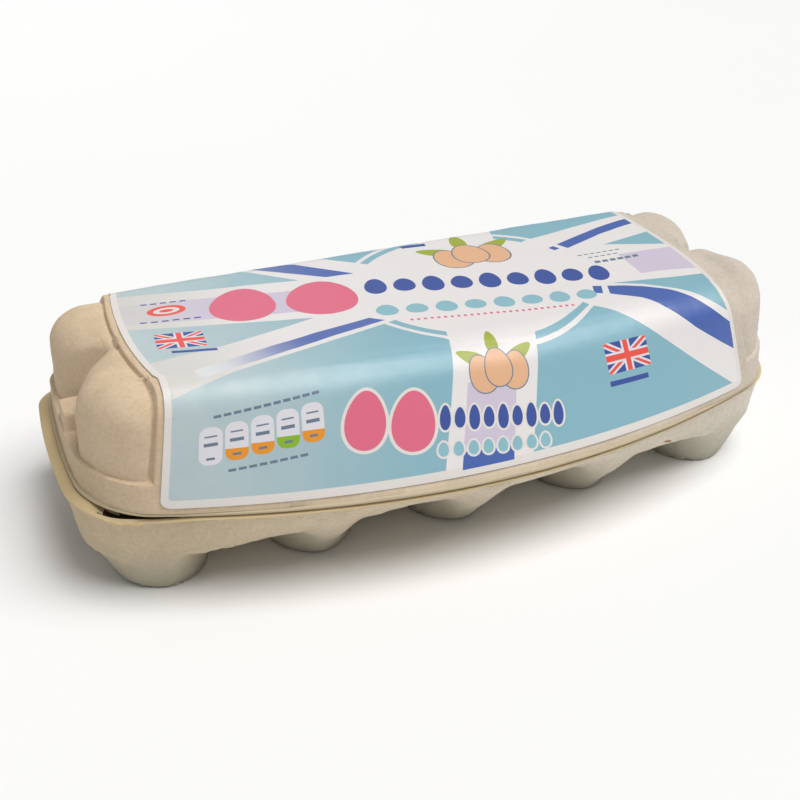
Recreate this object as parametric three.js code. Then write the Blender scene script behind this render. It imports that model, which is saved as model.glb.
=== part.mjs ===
// A shut moulded-pulp egg carton for two rows of five eggs, with a printed
// paper label wrapped over its lid.  Millimetres, +Z up, +X along the carton,
// +Y towards the hinge side.  The origin lies under the middle of the carton,
// on the surface that it stands on.
//
// Three closed solids: the tray with its ten cups, the lid with a raised label
// panel and two domed lobes at each end, and the thin label over the panel.

import * as THREE from 'three';

// ---- driving dimensions -------------------------------------------------
const PITCH = 50;                 // cup to cup, both ways
const Y_SHIFT = 10.1;             // moves the cup frame to the middle of the box

const RIM_FRONT = 68.3;           // bowed front flange, distance from the row gap
const RIM_BOW = 270;              // radius of that bow
const RIM_END = 129.0;            // half length over the end flanges
const END_BOW = 320;
const RIM_BACK = 48.1;            // straight hinge side
const RIM_R_FRONT = 13.5, LID_R_FRONT = 16, RIM_R_BACK = 12;
const LID_SHIFT = 1.5, LID_END = 126.7;   // the lid sits a little to the right on the tray

const TRAY_TOP = 32.6;            // parting plane
const LID_BOTTOM = 32.9;
const TRAY_LIP = 1.0, LID_LIP = 1.0;

const PANEL_Z = 70.3;             // top of the label panel
const PANEL_END = 104.7;          // its half length on the centre line
const LOBE_Z = 69.3;              // top of the end lobes
const BASE_Z = LID_BOTTOM + LID_LIP;
const TOP_FRONT = 47.0, TOP_BOW = 900;
const BASE_FRONT = 67.1, BASE_BOW = 290;
const TOP_END = 124.2, BASE_END = 125.5;
const TOP_BACK = 42.0, BASE_BACK = 46.8;
const SHOULDER_R = 8;             // front and back shoulders of the panel
const LOBE_R = 11;                // rounding of the lobes' tops
const PANEL_STEP = 1.0;           // the lobes lie this much inside the panel wall
const BAND_Z = 43.5;              // low band round each end
const RIB_Z = 50, RIB_HALF = 5.7, RIB_END = 124.4;
const VALLEY_Y = -0.5, VALLEY_X = 106.6, VALLEY_RUN = 0.32, VALLEY_SLOPE = 0.85;

const SHOULDER_STEPS = [0, 16, 32, 48, 66, 90];
const LABEL_GAP = 0.35, LABEL_T = 0.3;
const LABEL_MARGIN = 4.3;         // inside the panel's right end
const LABEL_MARGIN_LEFT = 2.2;    // and inside its left end
const TWIST = 0.9;                // the lid's corners are this much out of plane
const LEAN = 0.7, PUSH = 3.0;     // the right-hand lobes lean out, and their valley lies further back
const RISE = 1.8;                 // the right-hand front lobe stands this much higher
const LABEL_LOW_FRONT = 35.9, LABEL_LOW_BACK = 45;

const FOOT_HALF = 14.5;           // half width of a foot
const CUP_SIDE = 18, CUP_ROW = 30;   // reach of a cup along its row, and towards the other row
const CUP_NORM = 1.75;            // roundness of a cup's outline
const WEB_Z = 15.9, WEB_Y = 48.4; // spring of the arches between the cups
const ARCH = 1.0, ARCH_HALF = 15, WEB_SOFT = 0.2;   // their rise and half width, and how softly they turn up to the flange
const BULGE = 1.05, BULGE_LONG = 1.0;  // how round a cup's steep and its slanting walls are

// ---- small helpers ------------------------------------------------------
const clamp = (v, a, b) => Math.min(b, Math.max(a, v));
const lerp = (a, b, t) => a + (b - a) * t;
const ease = (a, b, v) => { const t = clamp((v - a) / (b - a), 0, 1); return t * t * (3 - 2 * t); };
const rmax = (a, b, r) => Math.min(Math.max(a, b), -r) + Math.hypot(Math.max(a + r, 0), Math.max(b + r, 0));
const smin = (a, b, k) => { const h = Math.max(k - Math.abs(a - b), 0) / k; return Math.min(a, b) - h * h * k / 4; };
const smax = (a, b, k) => -smin(-a, -b, k);

// distance along a ray from an inner point to a surface, where f turns positive
function reach(f, o, d, far) {
  let a = 0, b = 0.5;
  while (f(o[0] + d[0] * b, o[1] + d[1] * b, o[2] + d[2] * b) < 0 && b < far) { a = b; b += 0.5; }
  for (let i = 0; i < 26; i++) {
    const m = (a + b) / 2;
    if (f(o[0] + d[0] * m, o[1] + d[1] * m, o[2] + d[2] * m) < 0) a = m; else b = m;
  }
  return [o[0] + d[0] * a, o[1] + d[1] * a, o[2] + d[2] * a];
}

// ---- plan outline of both flanges --------------------------------------
function rim(x, y, end = RIM_END, r = RIM_R_FRONT) {
  const f = (-y - (RIM_FRONT - x * x / (2 * RIM_BOW))) / Math.hypot(1, x / RIM_BOW);
  const e = Math.abs(x) - (end - (y - 4) ** 2 / (2 * END_BOW));
  return rmax(rmax(f, e, r), y - RIM_BACK, RIM_R_BACK);
}

// ---- lid ----------------------------------------------------------------
// end edge of the raised panel, as |x|
function panelEnd(y, z) {
  const yc = clamp(y, -36, 36);
  const bow = (yc - 1) ** 2 / (2 * (yc < 1 ? 164 : 240));
  return PANEL_END - bow + 0.19 * Math.max(PANEL_Z - 2 - z, 0);
}

function wall(x, y, z) {
  const t = (PANEL_Z - z) / (PANEL_Z - BASE_Z);
  const k = lerp(1 / (2 * TOP_BOW), 1 / (2 * BASE_BOW), t);
  const lean = (BASE_FRONT - TOP_FRONT) / (PANEL_Z - BASE_Z);
  const f = (-y - (lerp(TOP_FRONT, BASE_FRONT, t) - x * x * k)) / Math.hypot(1, 2 * x * k, lean);
  const e = Math.abs(x) - (lerp(TOP_END, BASE_END, t) - (y - 4) ** 2 / (2 * END_BOW));
  const b = y - lerp(TOP_BACK, BASE_BACK, t);
  return rmax(rmax(f, e, 16), b, 14);
}

const lobeRound = (y) => lerp(3.5, LOBE_R, ease(2, 16, Math.abs(y - VALLEY_Y)));

function lid(x, y, z) {
  const ax = Math.abs(x), w = wall(x, y, z);
  if (ax < panelEnd(y, z)) return rmax(w, z - PANEL_Z, SHOULDER_R);
  const off = Math.hypot(y - VALLEY_Y, 2.5) - 2.5;
  const run = VALLEY_X + VALLEY_RUN * (LOBE_Z - z);
  const v = ((ax - run) * VALLEY_SLOPE - off) / Math.hypot(1, VALLEY_SLOPE, VALLEY_SLOPE * VALLEY_RUN);
  let f = rmax(rmax(w + PANEL_STEP, v, 10), z - LOBE_Z, lobeRound(y));
  f = Math.min(f, Math.max(w, z - BAND_Z));
  return Math.min(f, Math.max(Math.abs(y - VALLEY_Y) - RIB_HALF, ax - RIB_END, z - RIB_Z));
}

// A station is a column of the lid's side: kind f and b look along -y and +y
// at a fraction s of the panel's half length, o stands just outside the panel
// edge, c fans round a corner, and e looks along x.
const EDGE = 0.15;
function lidStations(nFront, fan, ends) {
  const right = [];
  for (const a of fan) right.push({ kind: 'c', a: -a, y: -16, back: false });
  for (const y of ends) right.push({ kind: 'e', y });
  for (const a of [...fan].reverse()) right.push({ kind: 'c', a, y: 28, back: true });
  const half = fan.indexOf(45);
  const front = [], back = [];
  for (let i = -nFront; i <= nFront; i++) {
    front.push({ kind: 'f', s: i / nFront });
    back.push({ kind: 'f', s: -i / nFront, back: true });
  }
  const o = (sx, bk) => ({ kind: 'o', sx, back: bk });
  const sided = (list, sx) => list.map((q) => ({ ...q, sx }));
  return { front, back, right, half, o, sided };
}

function origin(st, z) {
  const yc = st.back ? 36 : -36;
  const e = panelEnd(yc, z);
  if (st.kind === 'f') return { x: st.s * (e - EDGE), y: st.back ? 20 : -20, dx: 0, dy: st.back ? 1 : -1 };
  if (st.kind === 'o') return { x: st.sx * (e + EDGE), y: st.back ? 20 : -20, dx: 0, dy: st.back ? 1 : -1 };
  if (st.kind === 'c') {
    const a = st.a * Math.PI / 180;
    return { x: st.sx * (e + EDGE), y: st.y, dx: st.sx * Math.cos(a), dy: Math.sin(a) };
  }
  return { x: st.sx * (PANEL_END + 0.4), y: st.y, dx: st.sx, dy: 0 };
}

// every column of the lid from the parting plane to the start of the flat top
function column(st, phis) {
  const pts = [];
  const flat = (z) => { const q = origin(st, z); return reach((x, y) => rim(x, y, LID_END, LID_R_FRONT), [q.x, q.y, z], [q.dx, q.dy, 0], 90); };
  const side = (z) => { const q = origin(st, z); return reach(lid, [q.x, q.y, z], [q.dx, q.dy, 0], 90); };
  for (const z of [LID_BOTTOM, BASE_Z - 0.4]) { const p = flat(BASE_Z); pts.push([p[0], p[1], z]); }
  { const p = flat(BASE_Z), q = origin(st, BASE_Z); pts.push([p[0] - q.dx * 0.4, p[1] - q.dy * 0.4, BASE_Z]); }
  for (const z of [BASE_Z + 0.05, BAND_Z - 0.15, BAND_Z + 0.15, RIB_Z - 0.15, RIB_Z + 0.15]) pts.push(side(z));
  const panel = st.kind === 'f';
  const r = panel ? SHOULDER_R : lobeRound(st.kind === 'e' ? st.y : (st.kind === 'c' ? 40 : 40));
  const z1 = (panel ? PANEL_Z : LOBE_Z) - r;
  if (z1 > RIB_Z + 4) pts.push(side((RIB_Z + z1) / 2)); else pts.push(side(RIB_Z + 1.5));
  const w = side(z1), q1 = origin(st, z1);
  const inset = panel && !st.back ? r * 1.2 + 1 : r * 1.1 + 0.6;
  const pivot = [w[0] - q1.dx * inset, w[1] - q1.dy * inset];
  for (const phi of phis) {
    const c = Math.cos(phi * Math.PI / 180), s = Math.sin(phi * Math.PI / 180);
    let z = z1 + r * s, p;
    for (let pass = 0; pass < 3; pass++) {
      let ox = pivot[0];
      if (st.kind === 'f' || st.kind === 'o') ox = origin(st, z).x;
      p = reach(lid, [ox, pivot[1], z1], [q1.dx * c, q1.dy * c, s], 60);
      z = p[2];
    }
    pts.push(p);
  }
  return pts;
}

// ---- meshes from rings and a patch inside the last ring -----------------
function meshOf(positions, indices, color, roughness, name) {
  const g = new THREE.BufferGeometry();
  g.setAttribute('position', new THREE.Float32BufferAttribute(positions, 3));
  g.setIndex(indices);
  g.computeVertexNormals();
  const m = new THREE.Mesh(g, new THREE.MeshStandardMaterial({ color, roughness, metalness: 0 }));
  m.name = name;
  m.position.set(name === 'tray' ? 0 : LID_SHIFT, Y_SHIFT, 0);
  return m;
}

// the slight twist that lid and label share
function twist(p) {
  for (let k = 0; k < p.length; k += 3) {
    const w = ease(105.2, 113, p[k]) * clamp((p[k + 2] - 44) / 16, 0, 1);
    const push = PUSH * w * Math.max(1 - (p[k + 1] / 44) ** 2, 0);
    p[k + 2] += TWIST * p[k] / 96 * p[k + 1] / 40 * clamp((p[k + 2] - 37) / 33, 0, 1);
    p[k + 2] += RISE * ease(105.2, 112, p[k]) * clamp((p[k + 2] - 44) / 20, 0, 1) * ease(-46, -28, p[k + 1]) * (1 - ease(-2, 10, p[k + 1]));
    p[k] += LEAN * w;
    p[k + 1] += push;
  }
  return p;
}

class Builder {
  constructor() { this.p = []; this.i = []; }
  vertex(v) { this.p.push(v[0], v[1], v[2]); return this.p.length / 3 - 1; }
  tri(a, b, c) { if (a !== b && b !== c && a !== c) this.i.push(a, b, c); }
  quad(a, b, c, d) {
    const P = (k) => new THREE.Vector3(this.p[3 * k], this.p[3 * k + 1], this.p[3 * k + 2]);
    if (P(a).distanceTo(P(c)) <= P(b).distanceTo(P(d))) { this.tri(a, b, c); this.tri(a, c, d); } else { this.tri(a, b, d); this.tri(b, c, d); }
  }
  // rings run anticlockwise seen from above, each next one nearer the middle
  rings(list) {
    const ids = list.map((ring) => ring.map((v) => this.vertex(v)));
    for (let k = 0; k + 1 < ids.length; k++) {
      const a = ids[k], b = ids[k + 1], n = a.length;
      for (let j = 0; j < n; j++) this.quad(a[j], a[(j + 1) % n], b[(j + 1) % n], b[j]);
    }
    return ids;
  }
}

// patch of (m+1) x (n+1) vertices whose border ids are given; inner from at(i,j)
function patch(b, m, n, border, at, flip) {
  const id = [];
  for (let i = 0; i <= m; i++) {
    id.push([]);
    for (let j = 0; j <= n; j++) {
      const e = border(i, j);
      id[i].push(e === undefined ? b.vertex(at(i, j)) : e);
    }
  }
  for (let i = 0; i < m; i++) for (let j = 0; j < n; j++) {
    if (flip) b.quad(id[i][j], id[i][j + 1], id[i + 1][j + 1], id[i + 1][j]);
    else b.quad(id[i][j], id[i + 1][j], id[i + 1][j + 1], id[i][j + 1]);
  }
  return id;
}

// ---- the lid ------------------------------------------------------------
function makeLid() {
  const nF = 11;                                  // half the panel columns
  const fan = [75, 60, 45, 30, 15];
  const ends = [-16, -11.5, -8.5, VALLEY_Y - RIB_HALF - 0.15, VALLEY_Y - RIB_HALF + 0.15, -2.5, VALLEY_Y, 3.5,
    VALLEY_Y + RIB_HALF - 0.15, VALLEY_Y + RIB_HALF + 0.15, 9.5, 12.5, 17, 22.5, 28];
  const S = lidStations(nF, fan, ends);
  const R = S.sided(S.right, 1);
  const L = S.sided(S.right, -1).reverse();
  const all = [...S.front, S.o(1, false), ...R, S.o(1, true), ...S.back, S.o(-1, true), ...L, S.o(-1, false)];
  const cols = all.map((st) => column(st, SHOULDER_STEPS));
  const b = new Builder();
  const rows = cols[0].length;
  const ids = b.rings(Array.from({ length: rows }, (_, r) => cols.map((c) => c[r])));
  const top = ids[rows - 1];
  // flat top: panel patch between the two panel edges, lobe patches beyond
  const nPan = 2 * nF, nSide = R.length - 2 * S.half;   // rows across
  const iF = 0, iO1 = S.front.length, iR = iO1 + 1, iO2 = iR + R.length, iB = iO2 + 1, iO3 = iB + S.back.length, iL = iO3 + 1, iO4 = iL + L.length;
  const m = nSide - 1;                                  // cells across y
  const P = (k) => [b.p[3 * k], b.p[3 * k + 1], b.p[3 * k + 2]];
  const mapY = (y0, y1, j) => lerp(y0, y1, j / m);
  patch(b, nPan, m, (i, j) => (j === 0 ? top[iF + i] : j === m ? top[iB + nPan - i] : undefined), (i, j) => {
    const a = P(top[iF + i]), c = P(top[iB + nPan - i]);
    const y = mapY(a[1], c[1], j), s = i / nF - 1;
    return [s * (panelEnd(y, PANEL_Z) - EDGE), y, PANEL_Z];
  }).forEach((colIds, i, arr) => { if (i === 0) b.leftCol = colIds; if (i === arr.length - 1) b.rightCol = colIds; });
  for (const sx of [1, -1]) {
    // the outer column of the step edge, then the lobes' own top
    const outFront = sx > 0 ? top[iO1] : top[iO4], outBack = sx > 0 ? top[iO2] : top[iO3];
    const inner = sx > 0 ? b.rightCol : b.leftCol;
    const outer = [];
    for (let j = 0; j <= m; j++) {
      if (j === 0) outer.push(outFront);
      else if (j === m) outer.push(outBack);
      else { const y = P(inner[j])[1]; outer.push(b.vertex([sx * (panelEnd(y, PANEL_Z) + EDGE), y, LOBE_Z])); }
    }
    for (let j = 0; j < m; j++) {
      if (sx > 0) b.quad(inner[j], outer[j], outer[j + 1], inner[j + 1]);
      else b.quad(outer[j], inner[j], inner[j + 1], outer[j + 1]);
    }
    const ringAt = (k) => (sx > 0 ? top[iR + k] : top[iL + (L.length - 1 - k)]);
    const h = S.half;                                   // cells along x in the lobe patch
    patch(b, h + 1, m, (i, j) => {
      if (i === 0) return outer[j];
      if (i === h + 1) return ringAt(h + j);
      if (j === 0) return ringAt(i - 1);
      if (j === m) return ringAt(R.length - i);
      return undefined;
    }, (i, j) => {
      const u = i / (h + 1), v = j / m;
      const A = P(outer[j]), C = P(ringAt(h + j));
      const F = P(ringAt(i - 1)), B = P(ringAt(R.length - i));
      const f0 = P(outer[0]), f1 = P(ringAt(h)), b0 = P(outer[m]), b1 = P(ringAt(h + m));
      const q = [0, 1].map((k) => lerp(A[k], C[k], u) + lerp(F[k], B[k], v)
        - lerp(lerp(f0[k], f1[k], u), lerp(b0[k], b1[k], u), v));
      return [q[0], q[1], LOBE_Z];
    }, sx < 0);
  }
  // flat underside
  const c = b.vertex([0, -5, LID_BOTTOM]), ring = ids[0];
  for (let j = 0; j < ring.length; j++) b.tri(ring[(j + 1) % ring.length], ring[j], c);
  return meshOf(twist(b.p), b.i, 0xc9b698, 0.95, 'lid');
}

// ---- the label ----------------------------------------------------------
const PANEL_REF = panelEnd(-36, PANEL_Z);
function surfacePoint(x0, w) {
  // w runs from the front edge (0) over the top to the back edge (1)
  const frontZ = PANEL_Z - SHOULDER_R, r = SHOULDER_R;
  const at = (z, bk) => reach(lid, [x0 * (panelEnd(bk ? 36 : -36, z) / PANEL_REF), bk ? 20 : -20, z], [0, bk ? 1 : -1, 0], 90);
  const over = (phi, bk) => {
    const wpt = at(frontZ, bk), inset = bk ? r * 1.1 + 0.6 : r * 1.2 + 1;
    const oy = wpt[1] + (bk ? -1 : 1) * inset;
    let z = frontZ + r * Math.sin(phi), p;
    for (let k = 0; k < 3; k++) {
      const ox = x0 * (panelEnd(bk ? 36 : -36, z) / PANEL_REF);
      p = reach(lid, [ox, oy, frontZ], [0, (bk ? 1 : -1) * Math.cos(phi), Math.sin(phi)], 60);
      z = p[2];
    }
    return p;
  };
  if (w[0] === 'f') return at(w[1], false);
  if (w[0] === 'F') return over(w[1] * Math.PI / 180, false);
  if (w[0] === 'b') return at(w[1], true);
  if (w[0] === 'B') return over(w[1] * Math.PI / 180, true);
  const a = over(Math.PI / 2, false), c = over(Math.PI / 2, true);
  const y = lerp(a[1], c[1], w[1]);
  return [x0 * panelEnd(y, PANEL_Z) / PANEL_REF, y, PANEL_Z];
}

function makeLabel() {
  const rows = [['f', LABEL_LOW_FRONT], ['f', 43.5], ['f', 50], ['f', 56.2], ...SHOULDER_STEPS.map((a) => ['F', a]),
    ['t', 0.2], ['t', 0.4], ['t', 0.6], ['t', 0.8], ...SHOULDER_STEPS.map((a) => ['B', a]).reverse(), ['b', 54], ['b', LABEL_LOW_BACK]];
  const nX = 22;
  const b = new Builder();
  const outer = [], inner = [];
  const solid = (x, y, z) => lid(clamp(x, -90, 90) === x ? x : x * 0.9, y, z);
  for (let i = 0; i <= nX; i++) {
    outer.push([]); inner.push([]);
    const x0 = lerp(LABEL_MARGIN_LEFT - PANEL_REF, PANEL_REF - LABEL_MARGIN, i / nX);
    for (const w of rows) {
      const p = surfacePoint(x0, w), e = 0.05, q = [p[0], p[1], p[2]];
      const f = (dx, dy, dz) => solid(q[0] + dx, q[1] + dy, q[2] + dz);
      const n = new THREE.Vector3(0, f(0, e, 0) - f(0, -e, 0), f(0, 0, e) - f(0, 0, -e)).normalize();
      outer[i].push(b.vertex([p[0], p[1] + n.y * (LABEL_GAP + LABEL_T), p[2] + n.z * (LABEL_GAP + LABEL_T)]));
      inner[i].push(b.vertex([p[0], p[1] + n.y * LABEL_GAP, p[2] + n.z * LABEL_GAP]));
    }
  }
  const n = rows.length - 1;
  for (let i = 0; i < nX; i++) for (let j = 0; j < n; j++) {
    b.quad(outer[i][j], outer[i + 1][j], outer[i + 1][j + 1], outer[i][j + 1]);
    b.quad(inner[i][j], inner[i][j + 1], inner[i + 1][j + 1], inner[i + 1][j]);
  }
  for (let j = 0; j < n; j++) {
    b.quad(outer[0][j + 1], inner[0][j + 1], inner[0][j], outer[0][j]);
    b.quad(outer[nX][j], inner[nX][j], inner[nX][j + 1], outer[nX][j + 1]);
  }
  for (let i = 0; i < nX; i++) {
    b.quad(outer[i][0], inner[i][0], inner[i + 1][0], outer[i + 1][0]);
    b.quad(outer[i + 1][n], inner[i + 1][n], inner[i][n], outer[i][n]);
  }
  return meshOf(twist(b.p), b.i, 0x9cc3ca, 0.45, 'label');
}

// ---- the tray -----------------------------------------------------------
const CUP_TOP = TRAY_TOP - TRAY_LIP;
const rimFront = (x) => RIM_FRONT - x * x / (2 * RIM_BOW);

// underside height of one cup: 0 at the edge of its foot, CUP_TOP at its reach
function cup(x, y, cx, front) {
  const dx = x - cx, dy = y - (front ? -PITCH / 2 : PITCH / 2);
  const endCup = Math.abs(cx) > 1.9 * PITCH;
  const ax = endCup && Math.sign(cx) * dx > 0 ? RIM_END - 1.5 - Math.abs(cx) : CUP_SIDE;
  let ay = CUP_ROW;
  if (front && dy < 0) ay = rimFront(cx) - 1.5 - PITCH / 2;
  if (!front && dy > 0) ay = RIM_BACK - 1.5 - PITCH / 2;
  const norm = (a, b) => Math.pow(Math.pow(Math.abs(dx) / a, CUP_NORM) + Math.pow(Math.abs(dy) / b, CUP_NORM), 1 / CUP_NORM);
  const foot = 1 / Math.max(norm(FOOT_HALF, FOOT_HALF), 1e-3), far = 1 / Math.max(norm(ax, ay), 1e-3);
  const t = (1 - foot) / (far - foot);
  if (t <= 0) return Math.max(t, -0.2) * CUP_TOP;
  const q = lerp(BULGE, BULGE_LONG, clamp((far * Math.hypot(dx, dy) - 27) / 13, 0, 1));
  return (1 - Math.pow(1 - Math.pow(Math.min(t, 1), q), 1 / q)) * (CUP_TOP + 1) + Math.max(t - 1, 0) * 60;
}

// height of the tray's underside
function under(x, y) {
  let h = 1e3;
  for (let i = -2; i <= 2; i++) for (const fr of [true, false]) h = smin(h, cup(x, y, i * PITCH, fr), 7);
  const u = clamp((-y - WEB_Y) / Math.max(rimFront(x) - WEB_Y, 4), 0, 1);
  const s = Math.abs(Math.abs(Math.abs(x) - PITCH) - PITCH / 2) / ARCH_HALF;
  const rise = (Math.hypot(u, WEB_SOFT) - WEB_SOFT) / (Math.hypot(1, WEB_SOFT) - WEB_SOFT);
  h = smin(h, lerp(WEB_Z + 2 + ARCH * (1 - Math.min(s * s, 2)), CUP_TOP + 1, rise), 10);
  h = smax(h, CUP_TOP + 1 + 5 * (rim(x, y) + 1.0), 3);
  return Math.max(smax(h, 0, 4) - 1.0, 0);
}

function makeTray() {
  const nF = 20;
  const fan = [75, 60, 45, 30, 15];
  const ends = [-16, -11, -7, -3, 1, 5, 9, 13, 17, 22.5, 28];
  const S = lidStations(nF, fan, ends);
  const R = S.sided(S.right, 1), L = S.sided(S.right, -1).reverse();
  const all = [...S.front, ...R, ...S.back, ...L];
  const ringAt = (inset) => all.map((st) => {
    const q = origin(st, 45);
    const p = reach((x, y) => rim(x, y) + inset, [q.x, q.y, 0], [q.dx, q.dy, 0], 90);
    return p;
  });
  const lip = ringAt(0.15);
  const rings = [];
  rings.push(lip.map((p) => [p[0], p[1], TRAY_TOP]));
  rings.push(lip.map((p) => [p[0], p[1], TRAY_TOP - TRAY_LIP + 0.3]));
  for (const inset of [0.6, 1.7, 3, 4.6, 6.6, 9.2, 12.4]) {
    rings.push(ringAt(inset).map((p) => [p[0], p[1], Math.min(under(p[0], p[1]), TRAY_TOP - TRAY_LIP)]));
  }
  const b = new Builder();
  const ids = rings.map((ring) => ring.map((v) => b.vertex(v)));
  for (let k = 0; k + 1 < ids.length; k++) {
    const a = ids[k], c = ids[k + 1], n = a.length;
    for (let j = 0; j < n; j++) b.quad(a[(j + 1) % n], a[j], c[j], c[(j + 1) % n]);
  }
  const last = ids[ids.length - 1];
  const P = (k) => [b.p[3 * k], b.p[3 * k + 1], b.p[3 * k + 2]];
  // the patch's corners lie half way round each corner fan
  const h = S.half + 1, nf = S.front.length, nr = R.length, N = all.length;
  const mX = nf - 1 + 2 * h, mY = nr - 1 - 2 * (h - 1);
  const bottom = (i) => last[(i - h + N) % N];
  const rightS = (j) => last[nf + (h - 1) + j];
  const topS = (i) => last[nf + nr + (nf - 1) + h - i];
  const leftS = (j) => last[N - 1 - (h - 1) - j];
  patch(b, mX, mY, (i, j) => (j === 0 ? bottom(i) : i === mX ? rightS(j) : j === mY ? topS(i) : i === 0 ? leftS(j) : undefined), (i, j) => {
    const u = i / mX, v = j / mY;
    const B = P(bottom(i)), T = P(topS(i)), Lf = P(leftS(j)), Rt = P(rightS(j));
    const c00 = P(bottom(0)), c10 = P(bottom(mX)), c01 = P(topS(0)), c11 = P(topS(mX));
    const q = [0, 1].map((k) => lerp(B[k], T[k], v) + lerp(Lf[k], Rt[k], u)
      - lerp(lerp(c00[k], c10[k], u), lerp(c01[k], c11[k], u), v));
    return [q[0], q[1], under(q[0], q[1])];
  }, true);
  const c = b.vertex([0, -5, TRAY_TOP]), ring = ids[0];
  for (let j = 0; j < ring.length; j++) b.tri(ring[j], ring[(j + 1) % ring.length], c);
  return meshOf(b.p, b.i, 0xa69a80, 0.95, 'tray');
}

const carton = new THREE.Group();
carton.name = 'egg_carton';
carton.add(makeTray(), makeLid(), makeLabel());
export default carton;
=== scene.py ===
# A shut moulded-pulp egg carton with a printed paper label over its lid.
# The pulp tray, the pulp lid and the label are rebuilt here as fine meshes on
# the construction of the CAD nodes, with relief, print and node materials.
import math
import random

import bpy
import numpy as np
from mathutils import Matrix, Vector
from mathutils.geometry import delaunay_2d_cdt


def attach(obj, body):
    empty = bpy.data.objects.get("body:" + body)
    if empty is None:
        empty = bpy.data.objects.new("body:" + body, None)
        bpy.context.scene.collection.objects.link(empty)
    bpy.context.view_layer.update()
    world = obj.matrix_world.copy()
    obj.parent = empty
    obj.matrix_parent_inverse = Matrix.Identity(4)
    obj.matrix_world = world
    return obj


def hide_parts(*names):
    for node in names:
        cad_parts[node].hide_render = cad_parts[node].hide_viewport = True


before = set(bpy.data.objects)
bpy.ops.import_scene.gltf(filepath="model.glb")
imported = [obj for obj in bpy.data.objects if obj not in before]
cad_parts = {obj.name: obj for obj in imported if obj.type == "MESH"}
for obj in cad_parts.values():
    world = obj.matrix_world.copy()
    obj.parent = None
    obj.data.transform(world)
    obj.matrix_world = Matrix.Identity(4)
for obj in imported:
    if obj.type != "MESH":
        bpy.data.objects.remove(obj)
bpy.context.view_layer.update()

# ---- geometry -----------------------------------------------------------
# the same named sizes as the CAD model, in millimetres, in the cup frame
PITCH = 50.0
Y_SHIFT = 10.1
RIM_FRONT, RIM_BOW, RIM_END, END_BOW, RIM_BACK = 68.3, 270.0, 129.0, 320.0, 48.1
RIM_R_FRONT, LID_R_FRONT, RIM_R_BACK = 13.5, 16.0, 12.0
LID_SHIFT, LID_END = 1.5, 126.7
TRAY_TOP, LID_BOTTOM, TRAY_LIP, LID_LIP = 32.6, 32.9, 1.0, 1.0
PANEL_Z, PANEL_END, LOBE_Z = 70.3, 104.7, 69.3
BASE_Z = LID_BOTTOM + LID_LIP
TOP_FRONT, TOP_BOW, BASE_FRONT, BASE_BOW = 47.0, 900.0, 67.1, 290.0
TOP_END, BASE_END, TOP_BACK, BASE_BACK = 124.2, 125.5, 42.0, 46.8
SHOULDER_R, LOBE_R, PANEL_STEP, BAND_Z = 8.0, 11.0, 1.0, 43.5
RIB_Z, RIB_HALF, RIB_END = 50.0, 5.7, 124.4
VALLEY_Y, VALLEY_X, VALLEY_RUN, VALLEY_SLOPE = -0.5, 106.6, 0.32, 0.85
LABEL_MARGIN, LABEL_LOW_FRONT, LABEL_LOW_BACK = 4.3, 35.9, 45.0
LABEL_MARGIN_LEFT = 2.2
SEAM = 157.0                          # a faint seam down the front left corner
TWIST, LEAN, PUSH, RISE = 0.9, 0.7, 3.0, 1.8
FOOT_HALF, CUP_SIDE, CUP_ROW, CUP_NORM, WEB_Z, WEB_Y = 14.5, 18.0, 30.0, 1.75, 15.9, 48.4
ARCH, ARCH_HALF, WEB_SOFT = 1.0, 15.0, 0.2
BULGE, BULGE_LONG = 1.05, 1.0
CUP_TOP = TRAY_TOP - TRAY_LIP
EDGE = 0.05
OUT = 1.7


def lerp(a, b, t):
    return a + (b - a) * t


def ease(a, b, v):
    t = np.clip((v - a) / (b - a), 0, 1)
    return t * t * (3 - 2 * t)


def rmax(a, b, r):
    return np.minimum(np.maximum(a, b), -r) + np.hypot(np.maximum(a + r, 0), np.maximum(b + r, 0))


def smin(a, b, k):
    h = np.maximum(k - np.abs(a - b), 0) / k
    return np.minimum(a, b) - h * h * k / 4


def smax(a, b, k):
    return -smin(-a, -b, k)


def reach(f, o, d, far=90.0, step=1.0):
    """Points where rays from inside leave the surface f = 0."""
    a = np.zeros(o.shape[:-1])
    b = a + 0.5
    go = np.ones(a.shape, bool)
    for _ in range(int(far / step)):
        p = o + d * b[..., None]
        go &= f(p[..., 0], p[..., 1], p[..., 2]) < 0
        a = np.where(go, b, a)
        b = np.where(go, b + step, b)
        if not go.any():
            break
    for _ in range(20):
        m = (a + b) / 2
        p = o + d * m[..., None]
        inside = f(p[..., 0], p[..., 1], p[..., 2]) < 0
        a = np.where(inside, m, a)
        b = np.where(inside, b, m)
    return o + d * a[..., None]


def rim(x, y, end=RIM_END, r=RIM_R_FRONT):
    f = (-y - (RIM_FRONT - x * x / (2 * RIM_BOW))) / np.hypot(1, x / RIM_BOW)
    e = np.abs(x) - (end - (y - 4) ** 2 / (2 * END_BOW))
    return rmax(rmax(f, e, r), y - RIM_BACK, RIM_R_BACK)


def panel_end(y, z):
    yc = np.clip(y, -36, 36)
    bow = (yc - 1) ** 2 / (2 * np.where(yc < 1, 164.0, 240.0))
    return PANEL_END - bow + 0.19 * np.maximum(PANEL_Z - 2 - z, 0)


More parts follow.
